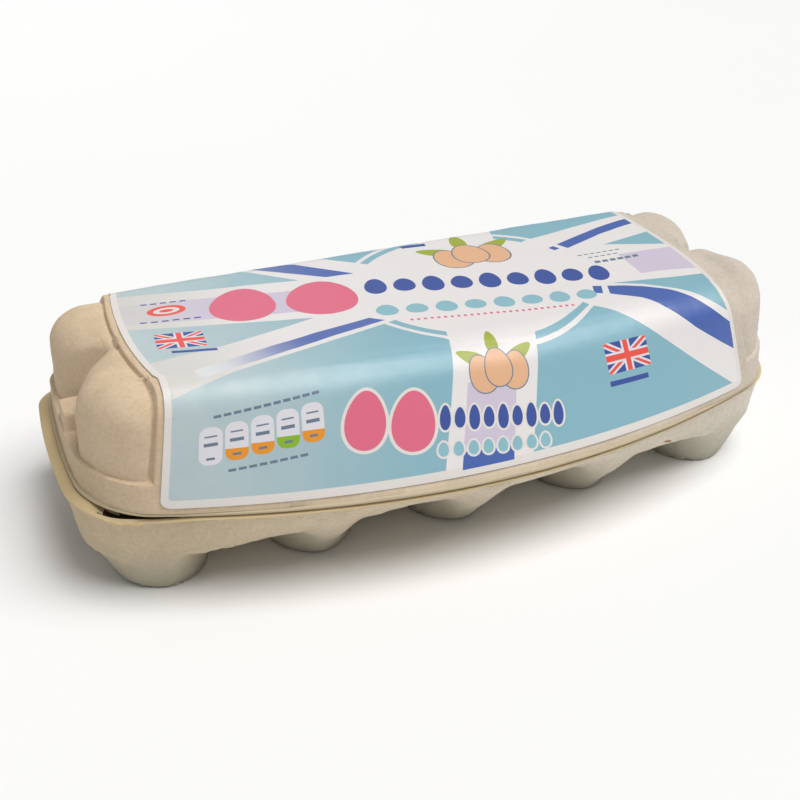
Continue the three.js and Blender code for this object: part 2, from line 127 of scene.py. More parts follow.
def wall(x, y, z):
    t = (PANEL_Z - z) / (PANEL_Z - BASE_Z)
    k = lerp(1 / (2 * TOP_BOW), 1 / (2 * BASE_BOW), t)
    lean = (BASE_FRONT - TOP_FRONT) / (PANEL_Z - BASE_Z)
    f = (-y - (lerp(TOP_FRONT, BASE_FRONT, t) - x * x * k)) / np.sqrt(1 + (2 * x * k) ** 2 + lean ** 2)
    e = np.abs(x) - (lerp(TOP_END, BASE_END, t) - (y - 4) ** 2 / (2 * END_BOW))
    b = y - lerp(TOP_BACK, BASE_BACK, t)
    return rmax(rmax(f, e, 16), b, 14)


def lobe_round(y):
    return lerp(3.5, LOBE_R, ease(2, 16, np.abs(y - VALLEY_Y)))


def lid(x, y, z):
    ax = np.abs(x)
    w = wall(x, y, z)
    pe = panel_end(y, z)
    panel = rmax(rmax(w, z - PANEL_Z, SHOULDER_R), ax - pe, 0.7)
    off = np.hypot(y - VALLEY_Y, 2.5) - 2.5
    run = VALLEY_X + VALLEY_RUN * (LOBE_Z - z)
    v = ((ax - run) * VALLEY_SLOPE - off) / math.sqrt(1 + VALLEY_SLOPE ** 2 + (VALLEY_SLOPE * VALLEY_RUN) ** 2)
    lobes = rmax(rmax(w + PANEL_STEP, v, 10), z - LOBE_Z, lobe_round(y))
    lobes = lobes + np.where(x < 0, 0.75, 0.12) * np.exp(-((ax - pe - 0.45) / 0.55) ** 2) * ease(40, 44, z)
    lobes = lobes + 0.45 * ease(56, 45, z)
    band = rmax(w, z - BAND_Z + 0.5 * np.exp(-((x + y * 1.1 + SEAM) / 1.6) ** 2), 0.3)
    rib = rmax(rmax(np.abs(y - VALLEY_Y) - RIB_HALF, ax - RIB_END, 0.9), z - RIB_Z, 0.9)
    return np.minimum(panel, smin(smin(lobes, band, 0.35), rib, 1.2))


def sheet(x, y, z):
    """The panel alone, without its end edges: what the label lies on."""
    return rmax(wall(x, y, z), z - PANEL_Z, SHOULDER_R)


def warp(p):
    """The slight twist and lean that the CAD gives lid and label."""
    p = p.copy()
    x, y, z = p[..., 0].copy(), p[..., 1].copy(), p[..., 2].copy()
    w = ease(105.2, 113, x) * np.clip((z - 44) / 16, 0, 1)
    push = PUSH * w * np.maximum(1 - (y / 44) ** 2, 0)
    z1 = z + TWIST * x / 96 * y / 40 * np.clip((z - 37) / 33, 0, 1)
    z2 = z1 + RISE * ease(105.2, 112, x) * np.clip((z1 - 44) / 20, 0, 1) * ease(-46, -28, y) * (1 - ease(-2, 10, y))
    p[..., 0] = x + LEAN * w + LID_SHIFT
    p[..., 1] = y + push
    p[..., 2] = z2
    return p


PANEL_REF = float(panel_end(-36.0, PANEL_Z))
LABEL_HALF = PANEL_REF - LABEL_MARGIN


class LabelSheet:
    """Flat label coordinates (u, v) in millimetres to points on the lid."""

    def __init__(self, nu=161):
        rows = [("w", z, False) for z in np.linspace(LABEL_LOW_FRONT, PANEL_Z - SHOULDER_R, 26)]
        rows += [("p", a, False) for a in np.linspace(4, 90, 22)]
        rows += [("t", t, False) for t in np.linspace(0.02, 0.98, 49)]
        rows += [("p", a, True) for a in np.linspace(90, 4, 22)]
        rows += [("w", z, True) for z in np.linspace(PANEL_Z - SHOULDER_R, LABEL_LOW_BACK, 16)]
        us = np.linspace(0.9 - PANEL_REF, LABEL_HALF + 1, nu)
        z1, r = PANEL_Z - SHOULDER_R, SHOULDER_R

        def ox(z, back):
            return us * (panel_end(36.0 if back else -36.0, z) / PANEL_REF)

        def at(z, back):
            o = np.stack([ox(z, back), np.full_like(us, 20.0 if back else -20.0), np.full_like(us, z)], -1)
            return reach(sheet, o, np.broadcast_to([0, 1.0 if back else -1.0, 0], o.shape))

        def over(phi, back):
            w = at(z1, back)
            inset = r * 1.1 + 0.6 if back else r * 1.2 + 1
            oy = w[:, 1] + (-1 if back else 1) * inset
            c, s = math.cos(math.radians(phi)), math.sin(math.radians(phi))
            z = np.full_like(us, z1 + r * s)
            for _ in range(3):
                x = us * (panel_end(np.full_like(us, 36.0 if back else -36.0), z) / PANEL_REF)
                o = np.stack([x, oy, np.full_like(us, z1)], -1)
                p = reach(sheet, o, np.broadcast_to([0, (1 if back else -1) * c, s], o.shape), 60)
                z = p[:, 2]
            return p

        a, c = over(90, False), over(90, True)
        grid = []
        for kind, q, back in rows:
            if kind == "w":
                grid.append(at(q, back))
            elif kind == "p":
                grid.append(over(q, back))
            else:
                y = lerp(a[:, 1], c[:, 1], q)
                grid.append(np.stack([us * panel_end(y, PANEL_Z) / PANEL_REF, y, np.full_like(us, PANEL_Z)], -1))
        self.grid = np.array(grid)                       # rows x nu x 3
        mid = self.grid[:, int(np.argmin(np.abs(us)))]
        self.v = np.concatenate([[0], np.cumsum(np.linalg.norm(np.diff(mid, axis=0), axis=1))])
        self.us = us
        self.length = float(self.v[-1])

    def at(self, u, v):
        u = np.asarray(u, float)
        v = np.asarray(v, float)
        fi = np.clip((u - self.us[0]) / (self.us[1] - self.us[0]), 0, len(self.us) - 1.001)
        i = fi.astype(int)
        fu = (fi - i)[..., None]
        j = np.clip(np.searchsorted(self.v, v, side="right") - 1, 0, len(self.v) - 2)
        fv = ((v - self.v[j]) / (self.v[j + 1] - self.v[j]))[..., None]
        g = self.grid
        return lerp(lerp(g[j, i], g[j, i + 1], fu), lerp(g[j + 1, i], g[j + 1, i + 1], fu), fv)


# ---- end of geometry ----------------------------------------------------


# ---- meshes -------------------------------------------------------------
def waves(p, size, seed, n=28):
    """Smooth noise of about unit range from plane waves, size in mm."""
    rng = random.Random(seed)
    out = np.zeros(len(p))
    for _ in range(n):
        d = np.array([rng.gauss(0, 1), rng.gauss(0, 1), rng.gauss(0, 1)])
        d *= 2 * math.pi / (size * rng.uniform(0.7, 1.6)) / np.linalg.norm(d)
        out += np.sin(p @ d + rng.uniform(0, 2 * math.pi))
    return out / math.sqrt(n / 2)


def normals(verts, faces):
    n = np.zeros_like(verts)
    for quad in (faces,):
        a, b, c, d = (verts[quad[:, k]] for k in range(4))
        fn = np.cross(c - a, d - b)
        for k in range(4):
            np.add.at(n, quad[:, k], fn)
    return n / np.maximum(np.linalg.norm(n, axis=1), 1e-9)[:, None]


class Builder:
    def __init__(self):
        self.v, self.f = [], []

    def add(self, pts):
        pts = np.asarray(pts, float).reshape(-1, 3)
        start = sum(len(q) for q in self.v)
        self.v.append(pts)
        return np.arange(start, start + len(pts))

    def quads(self, a, b, c, d):
        self.f.append(np.stack([np.ravel(a), np.ravel(b), np.ravel(c), np.ravel(d)], 1))

    def done(self):
        return np.concatenate(self.v), np.concatenate(self.f)


def to_object(name, verts, faces, mats, face_mat=None, uv=None, sharp=None):
    verts = np.array(verts, float)
    verts[:, 1] += Y_SHIFT
    clean = []
    for f in faces:
        g = []
        for k in f:
            if k not in g:
                g.append(int(k))
        clean.append(g)
    me = bpy.data.meshes.new(name)
    me.from_pydata((verts * 0.001).tolist(), [], clean)
    for m in mats:
        me.materials.append(m)
    me.polygons.foreach_set("use_smooth", [True] * len(me.polygons))
    if face_mat is not None:
        me.polygons.foreach_set("material_index", [int(k) for k in face_mat])
    if uv is not None:
        layer = me.uv_layers.new(name="flat")
        loops = np.zeros(len(me.loops), np.int32)
        me.loops.foreach_get("vertex_index", loops)
        layer.data.foreach_set("uv", uv[loops].astype(np.float32).ravel())
    me.validate()
    me.update()
    if sharp is not None:
        me.set_sharp_from_angle(angle=math.radians(sharp))
    ob = bpy.data.objects.new(name, me)
    bpy.context.scene.collection.objects.link(ob)
    return ob


def stations(n_front, fan, ends, offs):
    """Columns round the plan, anticlockwise from the front left."""
    s = list(np.linspace(-1, 1, 2 * n_front + 1))
    near = [1 - q / 100 for q in (0.25, 0.5, 0.8, 1.1)]
    s = sorted(set(s[1:-1] + [-1.0, 1.0] + near + [-q for q in near]))
    right = [dict(k=2, a=-a, y=-16.0, s=0.0, bk=False) for a in fan]
    right += [dict(k=3, a=0.0, y=float(y), s=0.0, bk=False) for y in ends]
    right += [dict(k=2, a=a, y=28.0, s=0.0, bk=True) for a in reversed(fan)]
    front = [dict(k=0, s=q, a=0, y=0, bk=False, sx=1) for q in s]
    back = [dict(k=0, s=-q, a=0, y=0, bk=True, sx=1) for q in s]

    def o(sx, bk, lst):
        return [dict(k=1, s=q, a=0, y=0, bk=bk, sx=sx) for q in lst]

    r = [dict(q, sx=1) for q in right]
    left = [dict(q, sx=-1) for q in reversed(right)]
    rev = list(reversed(offs))
    groups = [front, o(1, False, offs), r, o(1, True, rev), back, o(-1, True, offs), left, o(-1, False, rev)]
    st = [q for g in groups for q in g]
    arr = {key: np.array([q[key] for q in st], float) for key in ("k", "s", "a", "y", "sx")}
    arr["bk"] = np.array([q["bk"] for q in st], bool)
    starts = np.cumsum([0] + [len(g) for g in groups])
    return arr, starts, len(right), fan.index(45), len(s), s


def origin(st, z):
    """Ray origins and directions for every station (rows) at heights z."""
    n = len(st["k"])
    z = np.broadcast_to(z, (n, np.shape(z)[-1])) if np.ndim(z) else np.full((n, 1), float(z))
    k, s, sx, bk = (st[q][:, None] for q in ("k", "s", "sx", "bk"))
    e = panel_end(np.where(bk, 36.0, -36.0) + 0 * z, z)
    a = np.radians(st["a"])[:, None]
    x = np.where(k == 0, s * (e - EDGE), np.where(k == 1, sx * (e + s), np.where(k == 2, sx * (e + OUT), sx * (PANEL_END + 0.4))))
    y = np.where(k <= 1, np.where(bk, 20.0, -20.0), st["y"][:, None]) + 0 * z
    dx = np.where(k <= 1, 0.0, np.where(k == 2, sx * np.cos(a), sx)) + 0 * z
    dy = np.where(k <= 1, np.where(bk, 1.0, -1.0), np.where(k == 2, np.sin(a), 0.0)) + 0 * z
    return x, y, dx, dy, z


def side_rows(st, f, zs):
    x, y, dx, dy, z = origin(st, np.asarray(zs, float))
    return reach(f, np.stack([x, y, z], -1), np.stack([dx, dy, 0 * dx], -1))


def fan_list():
    return [87, 84, 80, 76, 72, 68, 64, 60, 56, 52, 48, 45, 42, 38, 34, 30, 26, 22, 18, 14, 10, 6, 3]


def coons(border, m, n, verts):
    """Plan points of a patch from its border vertex ids (four callables)."""
    bottom, top, left, right = border
    b = verts[bottom][:, :2]
    t = verts[top][:, :2]
    lf = verts[left][:, :2]
    rt = verts[right][:, :2]
    u = np.linspace(0, 1, m + 1)[:, None, None]
    v = np.linspace(0, 1, n + 1)[None, :, None]
    q = lerp(b[:, None], t[:, None], v) + lerp(lf[None], rt[None], u)
    q -= lerp(lerp(b[0], b[-1], u), lerp(t[0], t[-1], u), v)
    return q


def make_lid():
    fan = fan_list()
    ends = sorted(set([round(v, 3) for v in np.linspace(-16, 28, 50)]
                      + [VALLEY_Y - RIB_HALF + q for q in (-0.5, -0.15, 0.15, 0.4, 0.9)]
                      + [VALLEY_Y + RIB_HALF + q for q in (0.5, 0.15, -0.15, -0.4, -0.9)]))
    offs = [0.05, 0.25, 0.5, 0.8, 1.15, 1.5]
    st, starts, n_right, half, n_s, s_list = stations(70, fan, ends, offs)
    n = len(st["k"])
    rows = []

    def ring(inset, z):
        x, y, dx, dy, _ = origin(st, BASE_Z)
        o = np.stack([x[:, 0], y[:, 0], np.full(n, z)], -1)
        d = np.stack([dx[:, 0], dy[:, 0], np.zeros(n)], -1)
        p = reach(lambda a, b, c: rim(a, b, LID_END, LID_R_FRONT), o, d)
        return p - d * inset

    for inset, z in ((1.6, LID_BOTTOM), (0.5, LID_BOTTOM), (0.15, LID_BOTTOM + 0.1), (0.0, LID_BOTTOM + 0.35), (0.02, BASE_Z - 0.35),
                     (0.15, BASE_Z - 0.12), (0.4, BASE_Z), (0.8, BASE_Z + 0.05)):
        rows.append(ring(inset, z))
    zs = [BASE_Z + 0.1, 36.6, 37.4, 38.6, 40, 41.4, 42.5, 43.0, 43.2, 43.35, 43.45, 43.55, 43.65, 43.8, 44.0, 44.4, 45.2, 46.4, 47.6, 48.6,
          49.2, 49.5, 49.75, 49.95, 50.05, 50.2, 50.5, 51.0]
    block = side_rows(st, lid, zs)
    # the wall's rows, from just above the flange up to z 51
    first = block[:, 0]
    rows += [block[:, k] for k in range(block.shape[1])]
    k0 = st["k"] == 0
    y_round = np.where(st["k"] == 3, st["y"], 40.0)
    r = np.where(k0, SHOULDER_R, lobe_round(y_round))
    z1 = np.where(k0, PANEL_Z, LOBE_Z) - r
    for q in (0.2, 0.4, 0.6, 0.8, 1.0):
        z = lerp(51.0, z1, q)[:, None]
        rows.append(side_rows(st, lid, z)[:, 0])
    w = rows[-1]
    x, y, dx, dy, _ = origin(st, z1[:, None])
    inset = np.where(k0 & ~st["bk"], r * 1.2 + 1, r * 1.1 + 0.6)
    pivot = w[:, :2] - np.stack([dx[:, 0], dy[:, 0]], -1) * inset[:, None]
    lidz = lid
    for phi in (5, 10, 16, 22, 28, 34, 40, 46, 52, 58, 64, 70, 76, 81, 86, 90):
        c, s = math.cos(math.radians(phi)), math.sin(math.radians(phi))
        z = z1 + r * s
        for _ in range(3):
            ox = np.where(st["k"] <= 1, origin(st, z[:, None])[0][:, 0], pivot[:, 0])
            o = np.stack([ox, pivot[:, 1], z1], -1)
            p = reach(lidz, o, np.stack([dx[:, 0] * c, dy[:, 0] * c, np.full(n, s)], -1), 60)
            z = p[:, 2]
        rows.append(p)
    b = Builder()
    ids = [b.add(q) for q in rows]
    for a, c in zip(ids[:-1], ids[1:]):
        b.quads(a, np.roll(a, -1), np.roll(c, -1), c)
    verts, _ = b.done()
    top = ids[-1]
    gf, g1, gr, g2, gb, g3, gl, g4 = starts[:8]
    n_off = len(offs)
    n_side = n_right - 2 * half
    m = n_side - 1
    # columns of the top from the left outer edge of the step to the right one
    bottom = np.concatenate([top[g4:g4 + n_off], top[gf:gf + n_s], top[g1:g1 + n_off]])
    upper = np.concatenate([top[g3:g3 + n_off][::-1], top[gb:gb + n_s][::-1], top[g2:g2 + n_off][::-1]])
    yb, yt = verts[bottom][:, 1], verts[upper][:, 1]
    vv = np.linspace(0, 1, m + 1)
    y = lerp(yb[:, None], yt[:, None], vv[None])
    e = panel_end(y, PANEL_Z)
    col = [-1] * n_off + [0] * n_s + [1] * n_off
    offv = list(reversed(offs)) + list(s_list) + offs
    x = np.empty_like(y)
    for i, (side, q) in enumerate(zip(col, offv)):
        x[i] = q * (e[i] - EDGE) if side == 0 else side * (e[i] + q)
    grid = np.empty(x.shape, int)
    o = np.stack([x, y, np.full_like(x, 50.0)], -1)
    p = reach(lid, o, np.broadcast_to([0.0, 0.0, 1.0], o.shape), 40)
    inner = b.add(p[:, 1:-1])
    grid[:, 1:-1] = inner.reshape(x.shape[0], m - 1)
    grid[:, 0], grid[:, -1] = bottom, upper
    b.quads(grid[:-1, :-1], grid[1:, :-1], grid[1:, 1:], grid[:-1, 1:])
    for sx in (1, -1):
        edge = grid[-1] if sx > 0 else grid[0]
        ring_ids = top[gr:gr + n_right] if sx > 0 else top[gl:gl + n_right][::-1]
        h = half
        bot = np.concatenate([[edge[0]], ring_ids[:h + 1]])
        tp = np.concatenate([[edge[-1]], ring_ids[::-1][:h + 1]])
        far = ring_ids[h:h + m + 1]
        verts, _ = b.done()
        q = coons((bot, tp, edge, far), h + 1, m, verts)
        o = np.concatenate([q, np.full(q.shape[:2] + (1,), 50.0)], -1)
        p = reach(lid, o, np.broadcast_to([0.0, 0.0, 1.0], o.shape), 40)
        g = np.empty(q.shape[:2], int)
        g[1:-1, 1:-1] = b.add(p[1:-1, 1:-1]).reshape(h, m - 1)
        g[0], g[-1], g[:, 0], g[:, -1] = edge, far, bot, tp
        if sx > 0:
            b.quads(g[:-1, :-1], g[1:, :-1], g[1:, 1:], g[:-1, 1:])
        else:
            b.quads(g[:-1, :-1], g[:-1, 1:], g[1:, 1:], g[1:, :-1])
    centre = b.add([[0, -5, LID_BOTTOM]])
    a = ids[0]
    b.quads(np.roll(a, -1), a, np.full(len(a), centre[0]), np.full(len(a), centre[0]))
    v, f = b.done()
    nn = normals(v, f)
    under_label = (np.abs(v[:, 0]) < panel_end(v[:, 1], v[:, 2]) - 2.5) & (v[:, 2] > LABEL_LOW_FRONT - 0.8)
    amp = np.where(under_label, 0.0, 1.0) * ease(LID_BOTTOM, LID_BOTTOM + 1.6, v[:, 2])
    d = (0.16 * waves(v, 26, 3) + 0.05 * waves(v, 7, 5) + 0.022 * waves(v, 2.2, 9)) * amp
    v = v + nn * np.minimum(d, 0.22)[:, None]
    # the lip's own waviness
    lip = (v[:, 2] < BASE_Z + 0.3) & (v[:, 2] >= LID_BOTTOM) & (np.abs(v[:, 0]) + np.abs(v[:, 1]) > 20)
    v[:, 2] += np.where(lip & (v[:, 2] > LID_BOTTOM + 0.2), 0.12 * waves(v * [1, 1, 0], 18, 21), 0)
    return warp(v), f


# height of the tray's underside, from the bowls of ten cups
def rim_front(x):
    return RIM_FRONT - x * x / (2 * RIM_BOW)


def cup(x, y, cx, front):
    dx, dy = x - cx, y - (-PITCH / 2 if front else PITCH / 2)
    end_cup = abs(cx) > 1.9 * PITCH
    ax = np.where(end_cup & (np.sign(cx) * dx > 0), RIM_END - 1.5 - abs(cx), CUP_SIDE)
    if front:
        ay = np.where(dy < 0, rim_front(cx) - 1.5 - PITCH / 2, CUP_ROW)
    else:
        ay = np.where(dy > 0, RIM_BACK - 1.5 - PITCH / 2, CUP_ROW)

    def norm(a, b):
        return ((np.abs(dx) / a) ** CUP_NORM + (np.abs(dy) / b) ** CUP_NORM) ** (1 / CUP_NORM)

    foot = 1 / np.maximum(norm(FOOT_HALF, FOOT_HALF), 1e-3)
    far = 1 / np.maximum(norm(ax, ay), 1e-3)
    t = (1 - foot) / (far - foot)
    q = lerp(BULGE, BULGE_LONG, np.clip((far * np.hypot(dx, dy) - 27) / 13, 0, 1))
    tc = np.clip(t, 0, 1)
    up = (1 - (1 - tc ** q) ** (1 / q)) * (CUP_TOP + 1) + np.maximum(t - 1, 0) * 60
    return np.where(t <= 0, np.maximum(t, -0.2) * CUP_TOP, up)


def under(x, y):
    h = np.full(np.shape(x), 1e3)
    for i in range(-2, 3):
        for fr in (True, False):
            h = smin(h, cup(x, y, i * PITCH, fr), 7)
    u = np.clip((-y - WEB_Y) / np.maximum(rim_front(x) - WEB_Y, 4), 0, 1)
    s = np.abs(np.abs(np.abs(x) - PITCH) - PITCH / 2) / ARCH_HALF
    rise = (np.hypot(u, WEB_SOFT) - WEB_SOFT) / (math.hypot(1, WEB_SOFT) - WEB_SOFT)
    h = smin(h, lerp(WEB_Z + 2 + ARCH * (1 - np.minimum(s * s, 2)), CUP_TOP + 1, rise), 10)
    h = smax(h, CUP_TOP + 1 + 5 * (rim(x, y) + 1.0), 3)
    return np.maximum(smax(h, 0, 4) - 1.0, 0)


TEAR = (-112.0, -44.0)                # where the flanges gape at the front left


def make_tray():
    fan = fan_list()
    ends = [round(v, 3) for v in np.linspace(-16, 28, 46)]
    st, starts, n_right, half, n_s, _ = stations(110, fan, ends, [])
    n = len(st["k"])
    x, y, dx, dy, _ = origin(st, 45.0)
    o = np.stack([x[:, 0], y[:, 0], np.zeros(n)], -1)
    d = np.stack([dx[:, 0], dy[:, 0], np.zeros(n)], -1)

    def ring(inset, z=None):
        p = reach(lambda a, b, c: rim(a, b) + inset, o, d)
        p[:, 2] = np.minimum(under(p[:, 0], p[:, 1]), TRAY_TOP - TRAY_LIP) if z is None else z
        return p

    edge = 0.15
    rows = []
    for inset, low in ((12.0, 0), (9.0, 0), (7.4, 0), (6.0, 0), (5.0, 0), (4.2, 0), (3.4, 0), (2.7, 0), (2.2, 0), (1.7, 0), (1.2, 0), (0.8, 0.05), (0.4, 0.15),
                       (edge, 0.4), (edge, 0.75), (edge + 0.12, 0.95)):
        q = ring(inset, TRAY_TOP - low)
        near = ease(20, 5.0, np.hypot((q[:, 0] - TEAR[0]) * 0.82, (q[:, 1] - TEAR[1]) * 1.3))
        # at the front left the flange hangs open, with a channel behind it
        frayed = ease(-119.5, -117, q[:, 0]) * ease(-105, -108, q[:, 0]) * (q[:, 1] < -36)
        drop = 0.9 * near * ease(6.5, 1.2, inset) + 0.5 * frayed * ease(1.6, 0.6, inset) * (1.0 + 0.6 * np.sin(q[:, 0] * 2.1))
        channel = 3.0 * near * ease(1.3, 2.6, inset) * ease(9.5, 6.0, inset)
        # elsewhere the flange dips a little towards its edge
        q[:, 2] -= np.maximum(drop, channel) + 0.35 * ease(3.0, 0.3, inset) * (low < 0.6)
        rows.append(q)
    for inset in (0.45, 0.7, 1.0, 1.3, 1.7, 2.2, 2.8, 3.5, 4.3, 5.2, 6.2, 7.3, 8.5, 9.8, 11.2, 12.6):
        rows.append(ring(inset))
    lip = rows[15][:, 2]
    for k, gap in ((16, 0.05), (17, 0.12), (18, 0.2), (19, 0.3)):
        rows[k][:, 2] = np.minimum(rows[k][:, 2], lip - gap)
    b = Builder()
    ids = [b.add(q) for q in rows]
    for a, c in zip(ids[:-1], ids[1:]):
        b.quads(np.roll(a, -1), a, c, np.roll(c, -1))
    last = ids[-1]
    verts, _ = b.done()
    h = half + 1
    nf, nr = n_s, n_right
    m_x, m_y = nf - 1 + 2 * h, nr - 1 - 2 * (h - 1)
    bottom = last[(np.arange(m_x + 1) - h) % n]
    right = last[nf + h - 1 + np.arange(m_y + 1)]
    top = last[nf + nr + (nf - 1) + h - np.arange(m_x + 1)]
    left = last[(n - 1 - (h - 1) - np.arange(m_y + 1)) % n]
    q = coons((bottom, top, left, right), m_x, m_y, verts)
    p = np.concatenate([q, under(q[..., 0], q[..., 1])[..., None]], -1)
    g = np.empty(q.shape[:2], int)
    g[1:-1, 1:-1] = b.add(p[1:-1, 1:-1]).reshape(m_x - 1, m_y - 1)
    g[:, 0], g[:, -1], g[0], g[-1] = bottom, top, left, right
    b.quads(g[:-1, :-1], g[:-1, 1:], g[1:, 1:], g[1:, :-1])
    ring_v = b.done()[0]
    painted_light_marks = {}
    # faces marked 1 take painted shade: the dark channel floor behind the gaping flange
    for k in range(1, 10):
        for i in ids[k]:
            px, py, pz = ring_v[i]
            if pz < TRAY_TOP - 1.3 and math.hypot(px - TEAR[0], py - TEAR[1]) < 24:
                painted_light_marks[int(i)] = 1
    # faces marked 2 take a painted highlight: the lit sliver of the flange's outer edge at the front left
    for k in range(11, 16):
        for i in ids[k]:
            px, py, pz = ring_v[i]
            if -119 < px < -106 and py < -36:
                painted_light_marks[int(i)] = 2
    centre = b.add([[0, -5, TRAY_TOP]])
    a = ids[0]
    b.quads(a, np.roll(a, -1), np.full(n, centre[0]), np.full(n, centre[0]))
    v, f = b.done()
    nn = normals(v, f)
    amp = ease(0.2, 3.0, v[:, 2]) * ease(TRAY_TOP - 0.6, TRAY_TOP - 3.6, v[:, 2])
    dd = (0.3 * waves(v, 30, 13) + 0.09 * waves(v, 8, 15) + 0.03 * waves(v, 2.4, 19)) * amp
    v = v + nn * dd[:, None]
    v[:, 2] = np.maximum(v[:, 2], 0)
    group = [0 if any(int(i) not in painted_light_marks for i in q) else min(painted_light_marks[int(i)] for i in q) for q in f]
    return v, f, group


# ---- the label's print: fields of colour and simple shapes, (u, v) in mm --
INK = ["border", "teal", "white", "lilac", "blue", "fade", "pink", "navy", "aqua", "tan", "leaf", "red", "orange", "lime", "slate", "panel"]


def egg(cx, cy, w, h, rot=0.0, n=30, taper=0.14):
    t = np.linspace(0, 2 * math.pi, n, endpoint=False)
    x = w / 2 * np.sin(t) * (1 - taper * np.cos(t))
    y = h / 2 * np.cos(t)
    a = math.radians(rot)
    return np.stack([cx + x * math.cos(a) - y * math.sin(a), cy + x * math.sin(a) + y * math.cos(a)], -1)


def disc(cx, cy, r, n=72):
    return egg(cx, cy, 2 * r, 2 * r, 0, n, 0.0)


def bar(cx, cy, w, h, rot=0.0):
    a = math.radians(rot)
    q = np.array([(-w / 2, -h / 2), (w / 2, -h / 2), (w / 2, h / 2), (-w / 2, h / 2)])
    return np.stack([cx + q[:, 0] * math.cos(a) - q[:, 1] * math.sin(a), cy + q[:, 0] * math.sin(a) + q[:, 1] * math.cos(a)], -1)


def rounded(u0, v0, u1, v1, radii, n=6):
    """Rounded rectangle, radii for the corners (u0 v0), (u1 v0), (u1 v1), (u0 v1)."""
    out = []
    for (cx, cy, a0), r in zip(((u0, v0, 180), (u1, v0, 270), (u1, v1, 0), (u0, v1, 90)), radii):
        ox = cx + (r if cx == u0 else -r)
        oy = cy + (r if cy == v0 else -r)
        for k in range(n + 1):
            a = math.radians(a0 + 90 * k / n)
            out.append((ox + r * math.cos(a), oy + r * math.sin(a)))
    return np.array(out)


